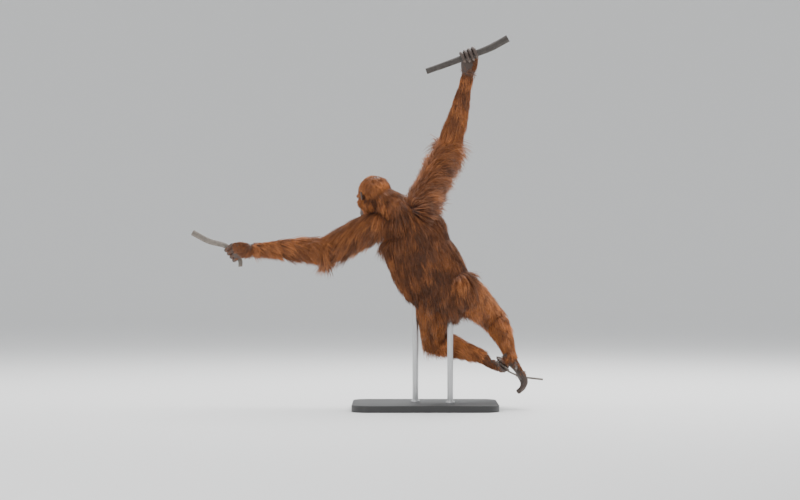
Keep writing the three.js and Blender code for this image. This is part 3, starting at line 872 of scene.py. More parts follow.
def smooth_rows(spine, s):
    """The place on each spine that is a share s of the way along it."""
    x = s * (spine.shape[1] - 1)
    i = min(int(x), spine.shape[1] - 2)
    return spine[:, i] + (spine[:, i + 1] - spine[:, i]) * (x - i)


def tangent_to(way, out):
    way = np.broadcast_to(way, out.shape)
    return unit_rows(way - (way * out).sum(1, keepdims=True) * out)


def places_on(corners, normals, weight, count):
    """Random places on triangles, with the smooth normal at each."""
    chosen = rng.choice(len(corners), count, p=weight / weight.sum())
    a, b = rng.random(count), rng.random(count)
    flip = a + b > 1
    a[flip], b[flip] = 1 - a[flip], 1 - b[flip]
    share = np.stack([1 - a - b, a, b], 1)[:, :, None]
    return (corners[chosen] * share).sum(1), unit_rows((normals[chosen] * share).sum(1))


def triangles_of(obj):
    """Corners, corner normals and areas of an object's triangles, in mm."""
    index = triangles_in(obj)
    normals = np.empty(len(obj.data.vertices) * 3)
    obj.data.vertices.foreach_get("normal", normals)
    corners = (places_of(obj) / MM)[index]
    a, b, c = corners.transpose(1, 0, 2)
    return corners, normals.reshape(-1, 3)[index], np.linalg.norm(np.cross(b - a, c - a), axis=1) / 2


def place_on_form(form, p, steps=40):
    """Where places lie along and round a form, and how far from its surface they are."""
    t = np.linspace(0, 1, steps + 1)
    point, along, side, front, w, d = form.section(t)
    nearest = np.linalg.norm(p[:, None, :] - point[None], axis=2).argmin(1)
    v = p - point[nearest]
    spacing = np.linalg.norm(np.diff(point, axis=0), axis=1).mean()
    shift = (v * along[nearest]).sum(1)
    at = t[nearest] + shift / spacing / steps
    beyond = np.maximum(np.abs(at - 0.5) - 0.5, 0) * spacing * steps
    right, ahead = (v * side[nearest]).sum(1), (v * front[nearest]).sum(1)
    w, d = w[nearest, 0], d[nearest, 0]
    ratio = np.hypot(np.hypot(right / w, ahead / d), beyond / np.minimum(w, d) / END_REACH)
    gap = np.abs(ratio - 1) * np.minimum(w, d)
    return at, np.arctan2(ahead / d, right / w) % (2 * math.pi), gap, along[nearest]


FARTHEST_PULL = 26


def grow_locks(t, a, girth, span_mm, size=(30, 24)):
    """Groups places into locks: which lock each is in, and seeded numbers for each lock."""
    rows = max(2, round(span_mm / size[0]))
    columns = max(6, round(math.pi * girth / size[1]))
    row = np.clip((t * rows + 0.6 * rng.random(len(t))).astype(int), 0, rows)
    turned = (a / (2 * math.pi) + 0.5 * (row % 2) / columns) * columns
    column = np.floor(turned + 0.35 * rng.normal(size=len(t))).astype(int) % columns
    return row * columns + column, rng.normal(size=((rows + 1) * columns, 4))


def towards_middle(root, out, lock, count, share):
    """The way from each root to the middle of its lock, kept along the skin and short."""
    held = np.maximum(np.bincount(lock, minlength=count), 1)
    middle = np.stack([np.bincount(lock, root[:, k], minlength=count) / held for k in range(3)], 1)
    towards = middle[lock] - root
    towards -= (towards * out).sum(1, keepdims=True) * out
    reach = np.linalg.norm(towards, axis=1, keepdims=True)
    return towards * np.minimum(1.0, FARTHEST_PULL / np.maximum(reach, 1e-6)) * share


def uv_in_cell(cell, a, t):
    """Places in one quarter of the unwrap, from the angle round a form and the way along it."""
    return (np.array(cell) + 0.05 + 0.9 * np.stack([a / (2 * math.pi), t], 1)) / 2


# %% [markdown]
# Which way the hair lies: down the back to the rump, from the shoulder to the elbow, and from the
# wrist back to the elbow too, so that a fringe hangs at each elbow. On the legs it runs to the
# feet. The long hair of the raised arm falls back under its own weight.

# %% Cover the body
MANY = 1.0
TUFTS_ON_BODY = 75800
LAST_ROOT = 0.99  # on forearms and shins, whose ends are inside the hands and feet
PARTING = 1.3  # how strongly the hair falls straight down at the wrist
LIE_REACH = 14  # how far a form has a say in which way the hair lies
# The last column sets the coat's base brightness on each form. It is painted shade, darkest on the back and
# lighter on the limbs, and random tone is added to it per lock.
COVER = {  # which way along, droop, length at the two ends and half way, sag, width, painted shade
    "trunk": (-1, 0.3, (76, 90, 84), 0.55, 2.9, 0.16),
    "neck": (-1, 0.6, (70, 62, 52), 0.5, 2.6, 0.36),
    "shoulder": (1, 0.45, (84, 92, 96), 0.6, 2.9, 0.34),
    "buttock": (1, 0.7, (74, 74, 74), 0.65, 2.9, 0.28),
    "upper_arm": (1, 0.35, (88, 100, 104), 0.75, 2.9, 0.42),
    "forearm": (-1, 0.3, (96, 66, 30), 0.6, 2.4, 0.50),
    "thigh": (1, 0.45, (80, 80, 74), 0.6, 2.9, 0.60),
    "shin": (1, 0.15, (64, 52, 30), 0.4, 2.4, 0.70),
}


def kind_of(form_name):
    return form_name.replace("_left", "").replace("_right", "")


def coat_of(form_name, t):
    """Which coat piece a tuft goes in, when its root is t of the way along a form."""
    if form_name == "trunk":
        return "coat_rump" if t < 0.33 else "coat_waist" if t < 0.56 else "coat_shoulders"
    if form_name.startswith("buttock"):
        return "coat_rump"
    if form_name.startswith("shoulder"):
        return "coat_shoulders"
    if form_name == "neck":
        return "coat_neck"
    side_name = form_name.rsplit("_", 1)[1]
    return ("coat_arm_" if "arm" in form_name else "coat_leg_") + side_name


CELLS = {
    "trunk": (0, 0), "neck": (0, 0), "shoulder_left": (0, 1), "shoulder_right": (1, 1),
    "buttock_left": (0, 1), "buttock_right": (1, 1), "upper_arm": (0, 0), "forearm": (1, 0),
    "thigh": (0, 0), "shin": (1, 0),
}

coats = {}


def lie_on_body(out, names, found):
    """Which way the hair lies, shared between the forms that are near, so that it turns smoothly."""
    lie = np.zeros_like(out)
    for n, (t, _, gap, along) in zip(names, found):
        sign, droop = COVER[kind_of(n)][:2]
        parting = PARTING * np.clip((t - 0.8) / 0.2, 0, 1) * (kind_of(n) == "forearm")
        lie += np.exp(-gap / LIE_REACH)[:, None] * (sign * along + (droop + parting)[:, None] * DOWN)
    return tangent_to(lie, out)


def dress_form(n, t, a, root, out, way):
    """Adds a form's tufts to the coat pieces that they belong to."""
    _, _, lengths, sag, width, shade_by_region = COVER[kind_of(n)]
    form, many = body_forms[n], len(t)
    reach = np.linalg.norm(form.points[-1] - form.points[0])
    lock, numbers = grow_locks(t, a, form.sizes.mean() * 2, reach)
    twist = numbers[lock, 2] * 0.16 + rng.normal(size=many) * 0.10
    size = np.interp(t, (0, 0.5, 1), lengths) * (1 + 0.12 * numbers[lock, 3])
    values = {
        "root": root,
        "out": out,
        "lie": unit_rows(way + np.cross(out, way) * twist[:, None]),
        "length": size * rng.uniform(0.7, 1.12, many),
        "width": width * rng.uniform(0.7, 1.25, many),
        "lift": 0.5 * rng.uniform(0.5, 1.5, many),
        "sag": np.full(many, sag),
        "pull": towards_middle(root, out, lock, len(numbers), 0.62),
        "uv": uv_in_cell(CELLS.get(n) or CELLS[kind_of(n)], a, t),
        # Painted shade: the form's base brightness, darkest on the back, with random tone per lock and per
        # tuft.
        "tone": np.clip(shade_by_region + 0.16 * numbers[lock, 0] + rng.normal(size=many) * 0.12, 0, 1),
    }
    piece_names = np.array([coat_of(n, x) for x in t])
    for piece_name in sorted(set(piece_names)):
        chosen = piece_names == piece_name
        coats.setdefault(piece_name, Hair()).add(**{key: v[chosen] for key, v in values.items()})


def cover_body(count):
    root, out = places_on(*triangles_of(body), count)
    names = list(body_forms)
    found = [place_on_form(body_forms[n], root) for n in names]
    lie = lie_on_body(out, names, found)
    owner = np.stack([gap for _, _, gap, _ in found], 1).argmin(1)
    for k, n in enumerate(names):
        t, a = found[k][:2]
        mine = owner == k
        if kind_of(n) in ("forearm", "shin"):
            mine &= t < LAST_ROOT
        dress_form(n, np.clip(t[mine], 0, 1), a[mine], root[mine], out[mine], lie[mine])


cover_body(int(TUFTS_ON_BODY * MANY))
print("coat pieces on the body:", sorted(coats))

# %% [markdown]
# On the head the hair grows out from a whorl at the back of the crown, forward to the brow and down
# over the sides, and it turns into whiskers on the cheeks and a short beard. The face and the ears
# stay bare. Here the tufts grow on the triangles of the head itself.

# %% Cover the head
WHORL = vec(6, -44, 50)


def hairy(local):
    """How thickly hair grows on the head: not on the face, under the ears or inside the neck."""
    from_ears = [(local - vec(s * 64, -2, -16)) / vec(9, 15, 21) for s in (-1, 1)]
    ear = np.minimum(*[np.linalg.norm(v, axis=1) for v in from_ears])
    hidden = (local[:, 2] < -60) & (local[:, 1] < 10)
    return np.clip(1 - bareness(local) * 1.4, 0, 1) * (ear > 1) * ~hidden


def lie_on_head(root, out):
    """Which way the hair lies on the crown, the cheeks and under the chin."""
    r, f, u = root.T
    low = np.clip((-u - 20) / 50, 0, 1)
    cheek = (np.clip((np.abs(r) - 26) / 16, 0, 1) * np.clip((24 - u) / 24, 0, 1))[:, None]
    under = np.clip(-out[:, 2] * 2 - 0.6, 0, 1)[:, None] * np.clip((f - 10) / 30, 0, 1)[:, None]
    crown_way = unit_rows(root - WHORL) + (f < 40)[:, None] * vec(0, -0.2, -0.4)
    cheek_way = np.stack([0.45 * np.sign(r), -0.55 + 0.2 * low, -0.75 - 0.4 * low], 1)
    way = crown_way * (1 - cheek) + cheek_way * cheek
    way = tangent_to(way * (1 - under) + vec(0, 0.6, -0.5) * under, out)
    swirl = 1.1 * ridge(np.linalg.norm(root - WHORL, axis=1), 26)[:, None]
    return way * np.cos(swirl) + np.cross(out, way) * np.sin(swirl)


def hair_length(root):
    """Short on the crown, shorter round the face, and longest under the chin."""
    _, f, u = root.T
    by_face = np.clip((1.32 - face_oval(root)) / 0.3, 0, 1) * np.clip((f - 15) / 15, 0, 1)
    return np.interp(u, (-100, -50, 0, 40), (54, 40, 30, 27)) * (1 - 0.5 * by_face * (u > -62))


def head_hair(hair, count):
    tri = head_local[head_faces]
    cross = np.cross(tri[:, 1] - tri[:, 0], tri[:, 2] - tri[:, 0])
    normals = np.repeat(unit_rows(cross)[:, None, :], 3, axis=1)
    root, out = places_on(tri, normals, np.linalg.norm(cross, axis=1) * hairy(tri.mean(1)), count)
    size = hair_length(root) * rng.uniform(0.7, 1.12, count)
    theta = np.arccos(np.clip(unit_rows(root - HEAD_MIDDLE) @ vec(0, 0, 1), -1, 1)) / math.pi
    turn = np.arctan2(root[:, 0], -(root[:, 1] - HEAD_MIDDLE[1])) / (2 * math.pi) + 0.5
    lock, numbers = grow_locks(theta, turn * 2 * math.pi, 130, 240, (20, 18))
    twist = numbers[lock, 0] * 0.12 + rng.normal(size=count) * 0.09
    way = lie_on_head(root, out)
    way = unit_rows(way + np.cross(out, way) * twist[:, None])
    hair.add(
        root=in_head(root),
        out=out @ HEAD_AXES,
        lie=way @ HEAD_AXES,
        length=size * (1 + 0.08 * numbers[lock, 1]),
        width=rng.uniform(1.5, 2.5, count),
        lift=rng.uniform(0.2, 0.5, count),
        sag=np.full(count, 0.3),
        pull=towards_middle(root, out, lock, len(numbers), 0.45) @ HEAD_AXES,
        uv=np.stack([0.02 + 0.96 * turn, 0.02 + 0.96 * theta], 1),
        # Painted shade with random tone, as on the body.
        tone=np.clip(0.56 + 0.13 * numbers[lock, 2] + rng.normal(size=count) * 0.1, 0, 1),
    )


HEAD_TUFTS = 11500
coats["coat_head"] = Hair()
head_hair(coats["coat_head"], int(HEAD_TUFTS * MANY))
print("tufts on the head:", int(HEAD_TUFTS * MANY))

# %% [markdown]
# The backs of the hands and feet have only a thin, short growth that lies towards the digits.

# %% Thin hair on hands and feet
SHORT_TRIES = 5600
hand_surfaces = {name: triangles_of(piece) for name, piece in zip(extremities, pieces_of_skin[1:])}
coats["coat_short"] = Hair()


def short_hair(name, cell, count):
    """Roots on the back of the palm, and on the backs of the digits' first bones."""
    pad, digits = extremities[name]["pads"][0], extremities[name]["digits"]
    root, out = places_on(*hand_surfaces[name], count)
    t, a, gap, along = place_on_form(pad, root)
    inner = unit(digits[1]["form"].points[3] - digits[1]["form"].points[0])
    kept = (gap < 7) & (t < 0.95) & ((out @ inner < 0.05) | (t < 0.15))
    for d in digits[:-1]:
        at, _, near, way = place_on_form(d["form"], root)
        outward = unit_rows(root - d["form"].points.mean(0))
        on_back = (near < 2.5) & (at > 0) & (at < 0.26) & ((out * outward).sum(1) > 0.5)
        on_back &= rng.random(count) < 0.4
        along, t = np.where(on_back[:, None], way, along), np.where(on_back, 1.0, t)
        kept |= on_back
    root, out, a, along = root[kept], out[kept], a[kept], along[kept]
    t, many = np.clip(t[kept], 0, 1), len(a)
    parting = 1.5 * np.clip(1 - t / 0.35, 0, 1)[:, None] if name.startswith("hand") else 0.1
    way = along + parting * DOWN + 0.12 * rng.normal(size=(many, 3))
    coats["coat_short"].add(
        root=root,
        out=out,
        lie=tangent_to(way, out),
        length=np.interp(t, (0, 0.3, 0.9, 1), (34, 26, 17, 12)) * rng.uniform(0.6, 1.1, many),
        width=rng.uniform(1.0, 1.7, many),
        lift=rng.uniform(0.05, 0.25, many),
        sag=np.full(many, 0.2),
        pull=rng.normal(size=(many, 3)) * 1.5,
        uv=uv_in_cell(cell, a, t),
        # Painted shade with random tone, as on the body.
        tone=np.clip(0.34 + 0.12 * rng.normal(size=many), 0, 1),
    )


for i, name in enumerate(extremities):
    short_hair(name, (i % 2, i // 2), int(SHORT_TRIES * MANY))

coat_pieces = [coats[name].mesh(name) for name in sorted(coats)]
select_only(body, *pieces_of_skin[1:])
bpy.ops.object.join()
skin = bpy.context.object
skin.name = skin.data.name = "skin"
print("skin:", triangle_count(skin), "triangles")
for piece in coat_pieces:
    print(piece.name, len(piece.data.polygons), "triangles")
print("coat in all:", sum(len(p.data.polygons) for p in coat_pieces))

# %% [markdown]
# Eyes: a glossy ball with a dark brown iris. A real eye is a white ball with a clear bulge over a
# flat iris. At this size one ball does it, with the cornea's bulge pushed out at the front and
# the colours drawn in rings about the way it looks.

# %% Eyes
GAZE = unit(FACE + 0.12 * DOWN)
CORNEA_BULGE, CORNEA_EDGE = 0.055, 34  # the edge in degrees from the middle


def eye_object(side_name):
    ball = new_sphere(64, 48)
    ball.name = ball.data.name = "eye_" + side_name + "_ball"
    co = places_of(ball)
    angle = np.degrees(np.arccos(np.clip(co[:, 2], -1, 1)))
    bulge = 1 + CORNEA_BULGE * np.clip(1 - (angle / CORNEA_EDGE) ** 2, 0, 1)
    side = unit(np.cross(GAZE, CROWN))
    axes = np.array([side, np.cross(GAZE, side), GAZE])
    move_to(ball, in_head(EYES[side_name]) + (co * bulge[:, None] * EYE_R) @ axes)
    add_values(ball, "from_middle", angle / 90)
    select_only(ball)
    bpy.ops.object.shade_smooth()
    return ball


eyes = {s: eye_object(s) for s in SIDES}
print("eyes:", [eye.name for eye in eyes.values()])

# %% [markdown]
# Nails: small domed plates, one on the tip of each digit, sunk a little into the skin.

# %% Nails
def nail_on(d):
    """A domed plate on the tip of a digit, sized by the digit's girth there."""
    point, along, _, _, w, _ = d["form"].section(1.0)
    point, along, size = point[0], along[0], float(w[0, 0])
    out = unit(d["nail"] - (d["nail"] @ along) * along)
    nail = new_sphere(20, 12)
    co = places_of(nail) * vec(size * 0.70, size * 0.95, size * 0.34)
    co[:, 2] -= 0.035 * co[:, 0] ** 2 / size * 4
    axes = np.array([np.cross(along, out), along, out])
    move_to(nail, point + out * size * 0.76 + along * size * 0.10 + co @ axes)
    return nail


nail_pieces = [nail_on(d) for limb_end in extremities.values() for d in limb_end["digits"]]
select_only(*nail_pieces)
bpy.ops.object.join()
nails = bpy.context.object
nails.name = nails.data.name = "nails"
bpy.ops.object.shade_smooth()
face_outwards(nails)
print("nails:", len(nail_pieces))

# %% [markdown]
# The perch: a cut length of branch, the end of a liana, and a twig. Each is a cylinder that is cut
# into many short lengths, bent along its path, and given knots and an uneven girth. The ends are
# sawn flat, as on a cut piece.


# %% Branch, liana and twig
KNOTS, KNOT_LENGTH = 9, 0.035
CORNER = math.radians(50)  # edges sharper than this stay sharp


def unevenness(t, a, turns):
    """Knots at random places, and low ridges that wind along the stem."""
    bumps = np.zeros(len(t))
    for _ in range(KNOTS):
        strength, place, phase = rng.uniform(0.4, 1.0), rng.uniform(0, 1), rng.uniform(0, 2 * math.pi)
        bumps += strength * ridge(t - place, KNOT_LENGTH) * (0.6 + 0.6 * np.cos(a - phase))
    ridges = 0.35 * np.cos(5 * a + turns * t) + 0.25 * np.cos(9 * a - 1.7 * turns * t + 1.0)
    return bumps * 0.5 + ridges


def perch(name, form, around, lengths, rough, turns=0.0):
    bpy.ops.mesh.primitive_cylinder_add(
        vertices=around, radius=1, depth=1, end_fill_type="NGON", location=(0, 0, 0.5)
    )
    stem = bpy.context.object
    stem.name = stem.data.name = name
    bpy.ops.object.transform_apply(location=True, rotation=False, scale=False)
    bpy.ops.object.mode_set(mode="EDIT")
    for i in range(1, lengths):
        bpy.ops.mesh.select_all(action="SELECT")
        bpy.ops.mesh.bisect(plane_co=(0, 0, i / lengths), plane_no=(0, 0, 1))
    bpy.ops.object.mode_set(mode="OBJECT")
    x, y, t = places_of(stem).T
    a = np.arctan2(y, x)
    centre, on_form = form.section(t)[0], form.surface(t, a)[0]
    move_to(stem, centre + (on_form - centre) * (1 + rough * unevenness(t, a, turns))[:, None])
    apply_modifier(stem, "TRIANGULATE")
    face_outwards(stem)
    bpy.ops.object.shade_smooth_by_angle(angle=CORNER)
    return stem


branch_steps = [(-205, 10, 12), (-105, 2, 5), (0, 0, 0), (95, 0, -5), (185, -8, 4)]
branch_form = bar([branch_at + s * branch_way + vec(0, y, z) for s, y, z in branch_steps], 12.5, 16)
liana_form = bar(
    [
        liana_at + vec(-185, 18, 88),
        liana_at + vec(-112, 12, 50),
        liana_at - 46 * liana_way + vec(-12, 2, -6),
        liana_at - 6 * liana_way,
        liana_at + 42 * liana_way,
        liana_at + 70 * heading(0.42, -0.02, -0.9),
    ],
    13, LIANA_R - 1,
)
twig_form = bar(
    [
        twig_at - 78 * twig_way,
        twig_at - 30 * twig_way,
        twig_at + 36 * twig_way,
        twig_at + 70 * twig_way + vec(44, 6, -40),
        twig_at + 74 * twig_way + vec(120, 8, -78),
        twig_at + 76 * twig_way + vec(226, 12, -94),
    ],
    TWIG_R - 0.5, TWIG_R + 0.5,
)
branch = perch("branch", branch_form, 48, 90, 0.09)
liana = perch("liana", liana_form, 40, 90, 0.08, turns=14)
twig = perch("twig", twig_form, 20, 70, 0.07)
print("perch:", [(stem.name, len(stem.data.polygons)) for stem in (branch, liana, twig)])

# %% [markdown]
# The stand is plain: a flat base with round corners and a softened rim, and two steel rods that go
# up into the rump and the belly. It is added to hold her up, so it stays quiet.

# %% The stand
BASE_W, BASE_D, BASE_H, BASE_CORNER, BASE_BEVEL, ROD_R = 640, 470, 30, 70, 4, 13
RODS = {"rump": (110, -42, 489), "belly": (-42, 34, 551)}  # across, forward, and the height of the top
COLLAR_RIM, COLLAR_H, COLLAR_BEVEL = 7, 9, 2.5
SHARP = math.radians(35)  # edges sharper than this stay sharp


def bevel_edges(obj, wanted, offset, segments):
    """Rounds the edges for which wanted is true of their two ends."""
    select_only(obj)
    bpy.context.tool_settings.mesh_select_mode = (False, True, False)
    bpy.ops.object.mode_set(mode="EDIT")
    bpy.ops.mesh.select_all(action="DESELECT")
    bpy.ops.object.mode_set(mode="OBJECT")
    for edge in obj.data.edges:
        a, b = (obj.data.vertices[i].co for i in edge.vertices)
        edge.select = wanted(a, b)
    bpy.ops.object.mode_set(mode="EDIT")
    bpy.ops.mesh.bevel(offset=offset * MM, segments=segments, profile=0.5)
    bpy.ops.object.mode_set(mode="OBJECT")


def at_height(z):
    """Whether both ends of an edge are at a height, in mm."""
    return lambda a, b: max(abs(a.z - z * MM), abs(b.z - z * MM)) < 1e-5


def upright(x, y, height, r):
    """A cylinder that stands on the base, sized in mm."""
    place = Vector((x, y, BASE_H + height / 2)) * MM
    bpy.ops.mesh.primitive_cylinder_add(vertices=64, radius=r * MM, depth=height * MM, location=place)
    bpy.ops.object.transform_apply(location=True, rotation=False, scale=False)
    return bpy.context.object


bpy.ops.mesh.primitive_cube_add(size=1, location=(0, 0, BASE_H * MM / 2))
base = bpy.context.object
base.name = base.data.name = "base"
base.scale = (BASE_W * MM, BASE_D * MM, BASE_H * MM)
bpy.ops.object.transform_apply(location=True, rotation=False, scale=True)
bevel_edges(base, lambda a, b: abs(a.z - b.z) > 0.01, BASE_CORNER, 16)
bevel_edges(base, at_height(BASE_H), BASE_BEVEL, 4)
bpy.ops.object.shade_smooth_by_angle(angle=SHARP)

rods = []
for name, (x, y, top) in RODS.items():
    rod = upright(x, y, top - BASE_H, ROD_R)
    rod.name = rod.data.name = "rod_" + name
    # A turned collar where the rod meets the base.
    collar = upright(x, y, COLLAR_H, ROD_R + COLLAR_RIM)
    bevel_edges(collar, at_height(BASE_H + COLLAR_H), COLLAR_BEVEL, 4)
    select_only(rod, collar)
    bpy.ops.object.join()
    bpy.ops.object.shade_smooth_by_angle(angle=SHARP)
    rods.append(rod)
print("stand:", base.name, [rod.name for rod in rods])

# %% [markdown]
# Each finish is a Principled shader whose colour and normal come from a small group of nodes, so
# that one effect serves several materials with other values.


# %% Shared effects
def set_input(tree, socket, value):
    """Links an input to an output of another node, or gives it a constant."""
    if isinstance(value, bpy.types.NodeSocket):
        tree.links.new(value, socket)
    else:
        socket.default_value = value


def add_node(tree, kind, **settings):
    """A node. Settings that start with in_ go to its inputs, and the others are its own."""
    node = tree.nodes.new(kind)
    for key, value in settings.items():
        if key.startswith("in_"):
            set_input(tree, node.inputs[key[3:].replace("_", " ")], value)
        else:
            setattr(node, key, value)
    return node


def attribute(tree, name):
    return add_node(tree, "ShaderNodeAttribute", attribute_name=name).outputs["Fac"]


def object_place(tree):
    return add_node(tree, "ShaderNodeTexCoord").outputs["Object"]


def noise(tree, place, **settings):
    return add_node(tree, "ShaderNodeTexNoise", in_Vector=place, **settings).outputs["Fac"]


def cell_edges(tree, place, scale):
    """How far a place is from the edges between the cells of a pattern."""
    settings = {"feature": "DISTANCE_TO_EDGE", "in_Vector": place, "in_Scale": scale}
    return add_node(tree, "ShaderNodeTexVoronoi", **settings).outputs["Distance"]


def map_range(tree, value, **settings):
    return add_node(tree, "ShaderNodeMapRange", in_Value=value, **settings).outputs[0]


def calculate(tree, operation, *values):
    node = add_node(tree, "ShaderNodeMath", operation=operation)
    for socket, value in zip(node.inputs, values):
        set_input(tree, socket, value)
    return node.outputs[0]


def mix_colour(tree, factor, a, b):
    mix = add_node(tree, "ShaderNodeMix", data_type="RGBA")
    # A colour mix has its factor at input 0, its colours at 6 and 7, and its result at output 2.
    for socket, value in ((0, factor), (6, a), (7, b)):
        set_input(tree, mix.inputs[socket], value)
    return mix.outputs[2]


def node_group(name, inputs, outputs, build):
    """A group whose build function takes its inputs and returns its outputs by name."""
    group = bpy.data.node_groups.new(name, "ShaderNodeTree")
    for socket, kind, value in inputs:
        made = group.interface.new_socket(name=socket, in_out="INPUT", socket_type=kind)
        made.default_value = value
    for socket, kind in outputs:
        group.interface.new_socket(name=socket, in_out="OUTPUT", socket_type=kind)
    start, end = group.nodes.new("NodeGroupInput"), group.nodes.new("NodeGroupOutput")
    for socket, value in build(group, start.outputs).items():
        group.links.new(value, end.inputs[socket])
    return group


def build_hair(tree, given):
    along, tone = attribute(tree, "along"), attribute(tree, "tone")
    near = map_range(tree, along, interpolation_type="SMOOTHSTEP", in_From_Max=0.45)
    # The tips lighten less where the painted shade is darker.
    lighter = calculate(tree, "MULTIPLY", map_range(tree, along, in_From_Min=0.3), tone)
    low = mix_colour(tree, near, given["Root"], given["Middle"])
    full = mix_colour(tree, lighter, low, given["Tip"])
    patch = noise(tree, object_place(tree), in_Scale=9.0, in_Detail=3.0)
    by_patch = map_range(tree, patch, in_To_Min=0.8, in_To_Max=1.15)
    # Painted shade: the coat darkens where the attribute is low, most on the back, with random tone among it.
    by_shade_and_tone = map_range(tree, tone, in_To_Min=0.36, in_To_Max=1.35)
    bright = calculate(tree, "MULTIPLY", by_patch, by_shade_and_tone)
    shaded = add_node(tree, "ShaderNodeHueSaturation", in_Value=bright, in_Color=full)
    return {"Colour": shaded.outputs[0]}


def build_skin_relief(tree, given):
    place, scale = object_place(tree), given["Scale"]
    fine = noise(tree, place, in_Scale=scale, in_Detail=6.0, in_Roughness=0.6)
    pores = calculate(tree, "ADD", cell_edges(tree, place, scale), fine)
    creases = cell_edges(tree, place, calculate(tree, "MULTIPLY", scale, 0.36))
    return {"Relief": calculate(tree, "MULTIPLY_ADD", creases, 1.8, pores), "Mottle": fine}


def build_bark(tree, given):
    place = object_place(tree)
    coarse = noise(tree, place, in_Scale=60.0, in_Detail=8.0, in_Roughness=0.65)
    cracks = cell_edges(tree, place, 120.0)
    return {
        "Colour": mix_colour(tree, coarse, given["Dark"], given["Light"]),
        "Relief": calculate(tree, "MULTIPLY_ADD", cracks, 1.4, coarse),
    }


COLOUR, VALUE = "NodeSocketColor", "NodeSocketFloat"
BLACK = (0, 0, 0, 1)
hair_group = node_group(
    "hair_colour",
    [("Root", COLOUR, BLACK), ("Middle", COLOUR, BLACK), ("Tip", COLOUR, BLACK)],
    [("Colour", COLOUR)],
    build_hair,
)
relief_group = node_group(
    "leathery_relief", [("Scale", VALUE, 300.0)], [("Relief", VALUE), ("Mottle", VALUE)], build_skin_relief
)
bark_group = node_group(
    "bark",
    [("Dark", COLOUR, BLACK), ("Light", COLOUR, BLACK)],
    [("Colour", COLOUR), ("Relief", VALUE)],
    build_bark,
)
print("node groups:", [group.name for group in (hair_group, relief_group, bark_group)])

# %% [markdown]
# The materials put those groups to work. Hair is dark at its root and lighter towards its tip, and
# the coat is painted darker on the back than on the limbs, as shade. Bare skin is dark and leathery,
# and paler round the eyes and on the muzzle. The eye's colours are rings about its middle.

# %% Materials
def material(name, **values):
    """A material with its Principled shader's inputs set."""
    made = bpy.data.materials.new(name)
    made.use_nodes = True
    shader = made.node_tree.nodes["Principled BSDF"]
    for key, value in values.items():
        shader.inputs[key.replace("_", " ")].default_value = value
    return made, made.node_tree, shader


def place_group(tree, group, **values):
    node = add_node(tree, "ShaderNodeGroup", node_tree=group)
    for key, value in values.items():
        node.inputs[key].default_value = value
    return node.outputs


def add_bump(tree, shader, height, strength, distance):
    bump = add_node(
        tree, "ShaderNodeBump", in_Strength=strength, in_Distance=distance, in_Height=height
    )
    tree.links.new(bump.outputs[0], shader.inputs["Normal"])


coat_material, tree, shader = material(
    "coat", Roughness=0.52, Specular_IOR_Level=0.35, Sheen_Weight=0.06, Sheen_Roughness=0.4
)
hair = place_group(
    tree, hair_group, Root=(0.04, 0.013, 0.006, 1), Middle=(0.25, 0.078, 0.022, 1), Tip=(0.72, 0.27, 0.085, 1)
)
tree.links.new(hair["Colour"], shader.inputs["Base Color"])

skin_material, tree, shader = material("skin", Roughness=0.55, Specular_IOR_Level=0.45)
relief = place_group(tree, relief_group, Scale=420.0)
dark_skin = mix_colour(tree, relief["Mottle"], (0.035, 0.024, 0.02, 1), (0.105, 0.07, 0.055, 1))
pale_skin = mix_colour(tree, relief["Mottle"], (0.13, 0.078, 0.055, 1), (0.27, 0.17, 0.125, 1))
face_skin = mix_colour(tree, attribute(tree, "pale"), dark_skin, pale_skin)
all_skin = mix_colour(tree, attribute(tree, "bare"), (0.05, 0.016, 0.007, 1), face_skin)
tree.links.new(all_skin, shader.inputs["Base Color"])
add_bump(tree, shader, relief["Relief"], 0.5, 0.0007)

nail_material, tree, shader = material("nail", Roughness=0.32)
relief = place_group(tree, relief_group, Scale=180.0)
nail_colour = mix_colour(tree, relief["Mottle"], (0.05, 0.034, 0.026, 1), (0.17, 0.12, 0.09, 1))
tree.links.new(nail_colour, shader.inputs["Base Color"])
add_bump(tree, shader, relief["Mottle"], 0.2, 0.0003)

EYE_RINGS = [  # how far from the middle, as a share of a quarter turn, and the colour from there
    (0.0, (0.002, 0.0015, 0.001, 1)),
    (0.12, (0.002, 0.0015, 0.001, 1)),
    (0.14, (0.075, 0.026, 0.009, 1)),
    (0.33, (0.04, 0.015, 0.006, 1)),
    (0.375, (0.008, 0.004, 0.003, 1)),
    (0.45, (0.07, 0.04, 0.03, 1)),
    (1.0, (0.16, 0.10, 0.08, 1)),
]
eye_material, tree, shader = material("eye", Roughness=0.1, Specular_IOR_Level=0.3)
rings = add_node(tree, "ShaderNodeValToRGB", in_Fac=attribute(tree, "from_middle"))
while len(rings.color_ramp.elements) < len(EYE_RINGS):
    rings.color_ramp.elements.new(0.5)
for element, (at, colour) in zip(rings.color_ramp.elements, EYE_RINGS):
    element.position, element.color = at, colour
tree.links.new(rings.outputs["Color"], shader.inputs["Base Color"])


def bark_material(name, dark, light, strength):
    made, tree, shader = material(name, Roughness=0.85)
    bark = place_group(tree, bark_group, Dark=dark, Light=light)
    tree.links.new(bark["Colour"], shader.inputs["Base Color"])
    add_bump(tree, shader, bark["Relief"], strength, 0.0012)
    return made


branch_material = bark_material("branch_bark", (0.018, 0.015, 0.014, 1), (0.11, 0.095, 0.085, 1), 0.7)
liana_material = bark_material("liana_bark", (0.05, 0.042, 0.036, 1), (0.30, 0.26, 0.22, 1), 0.6)

base_material, tree, shader = material("base_paint", Roughness=0.5)
relief = place_group(tree, relief_group, Scale=700.0)
paint = mix_colour(tree, relief["Mottle"], (0.022, 0.022, 0.023, 1), (0.038, 0.037, 0.036, 1))
tree.links.new(paint, shader.inputs["Base Color"])
add_bump(tree, shader, relief["Relief"], 0.12, 0.0003)

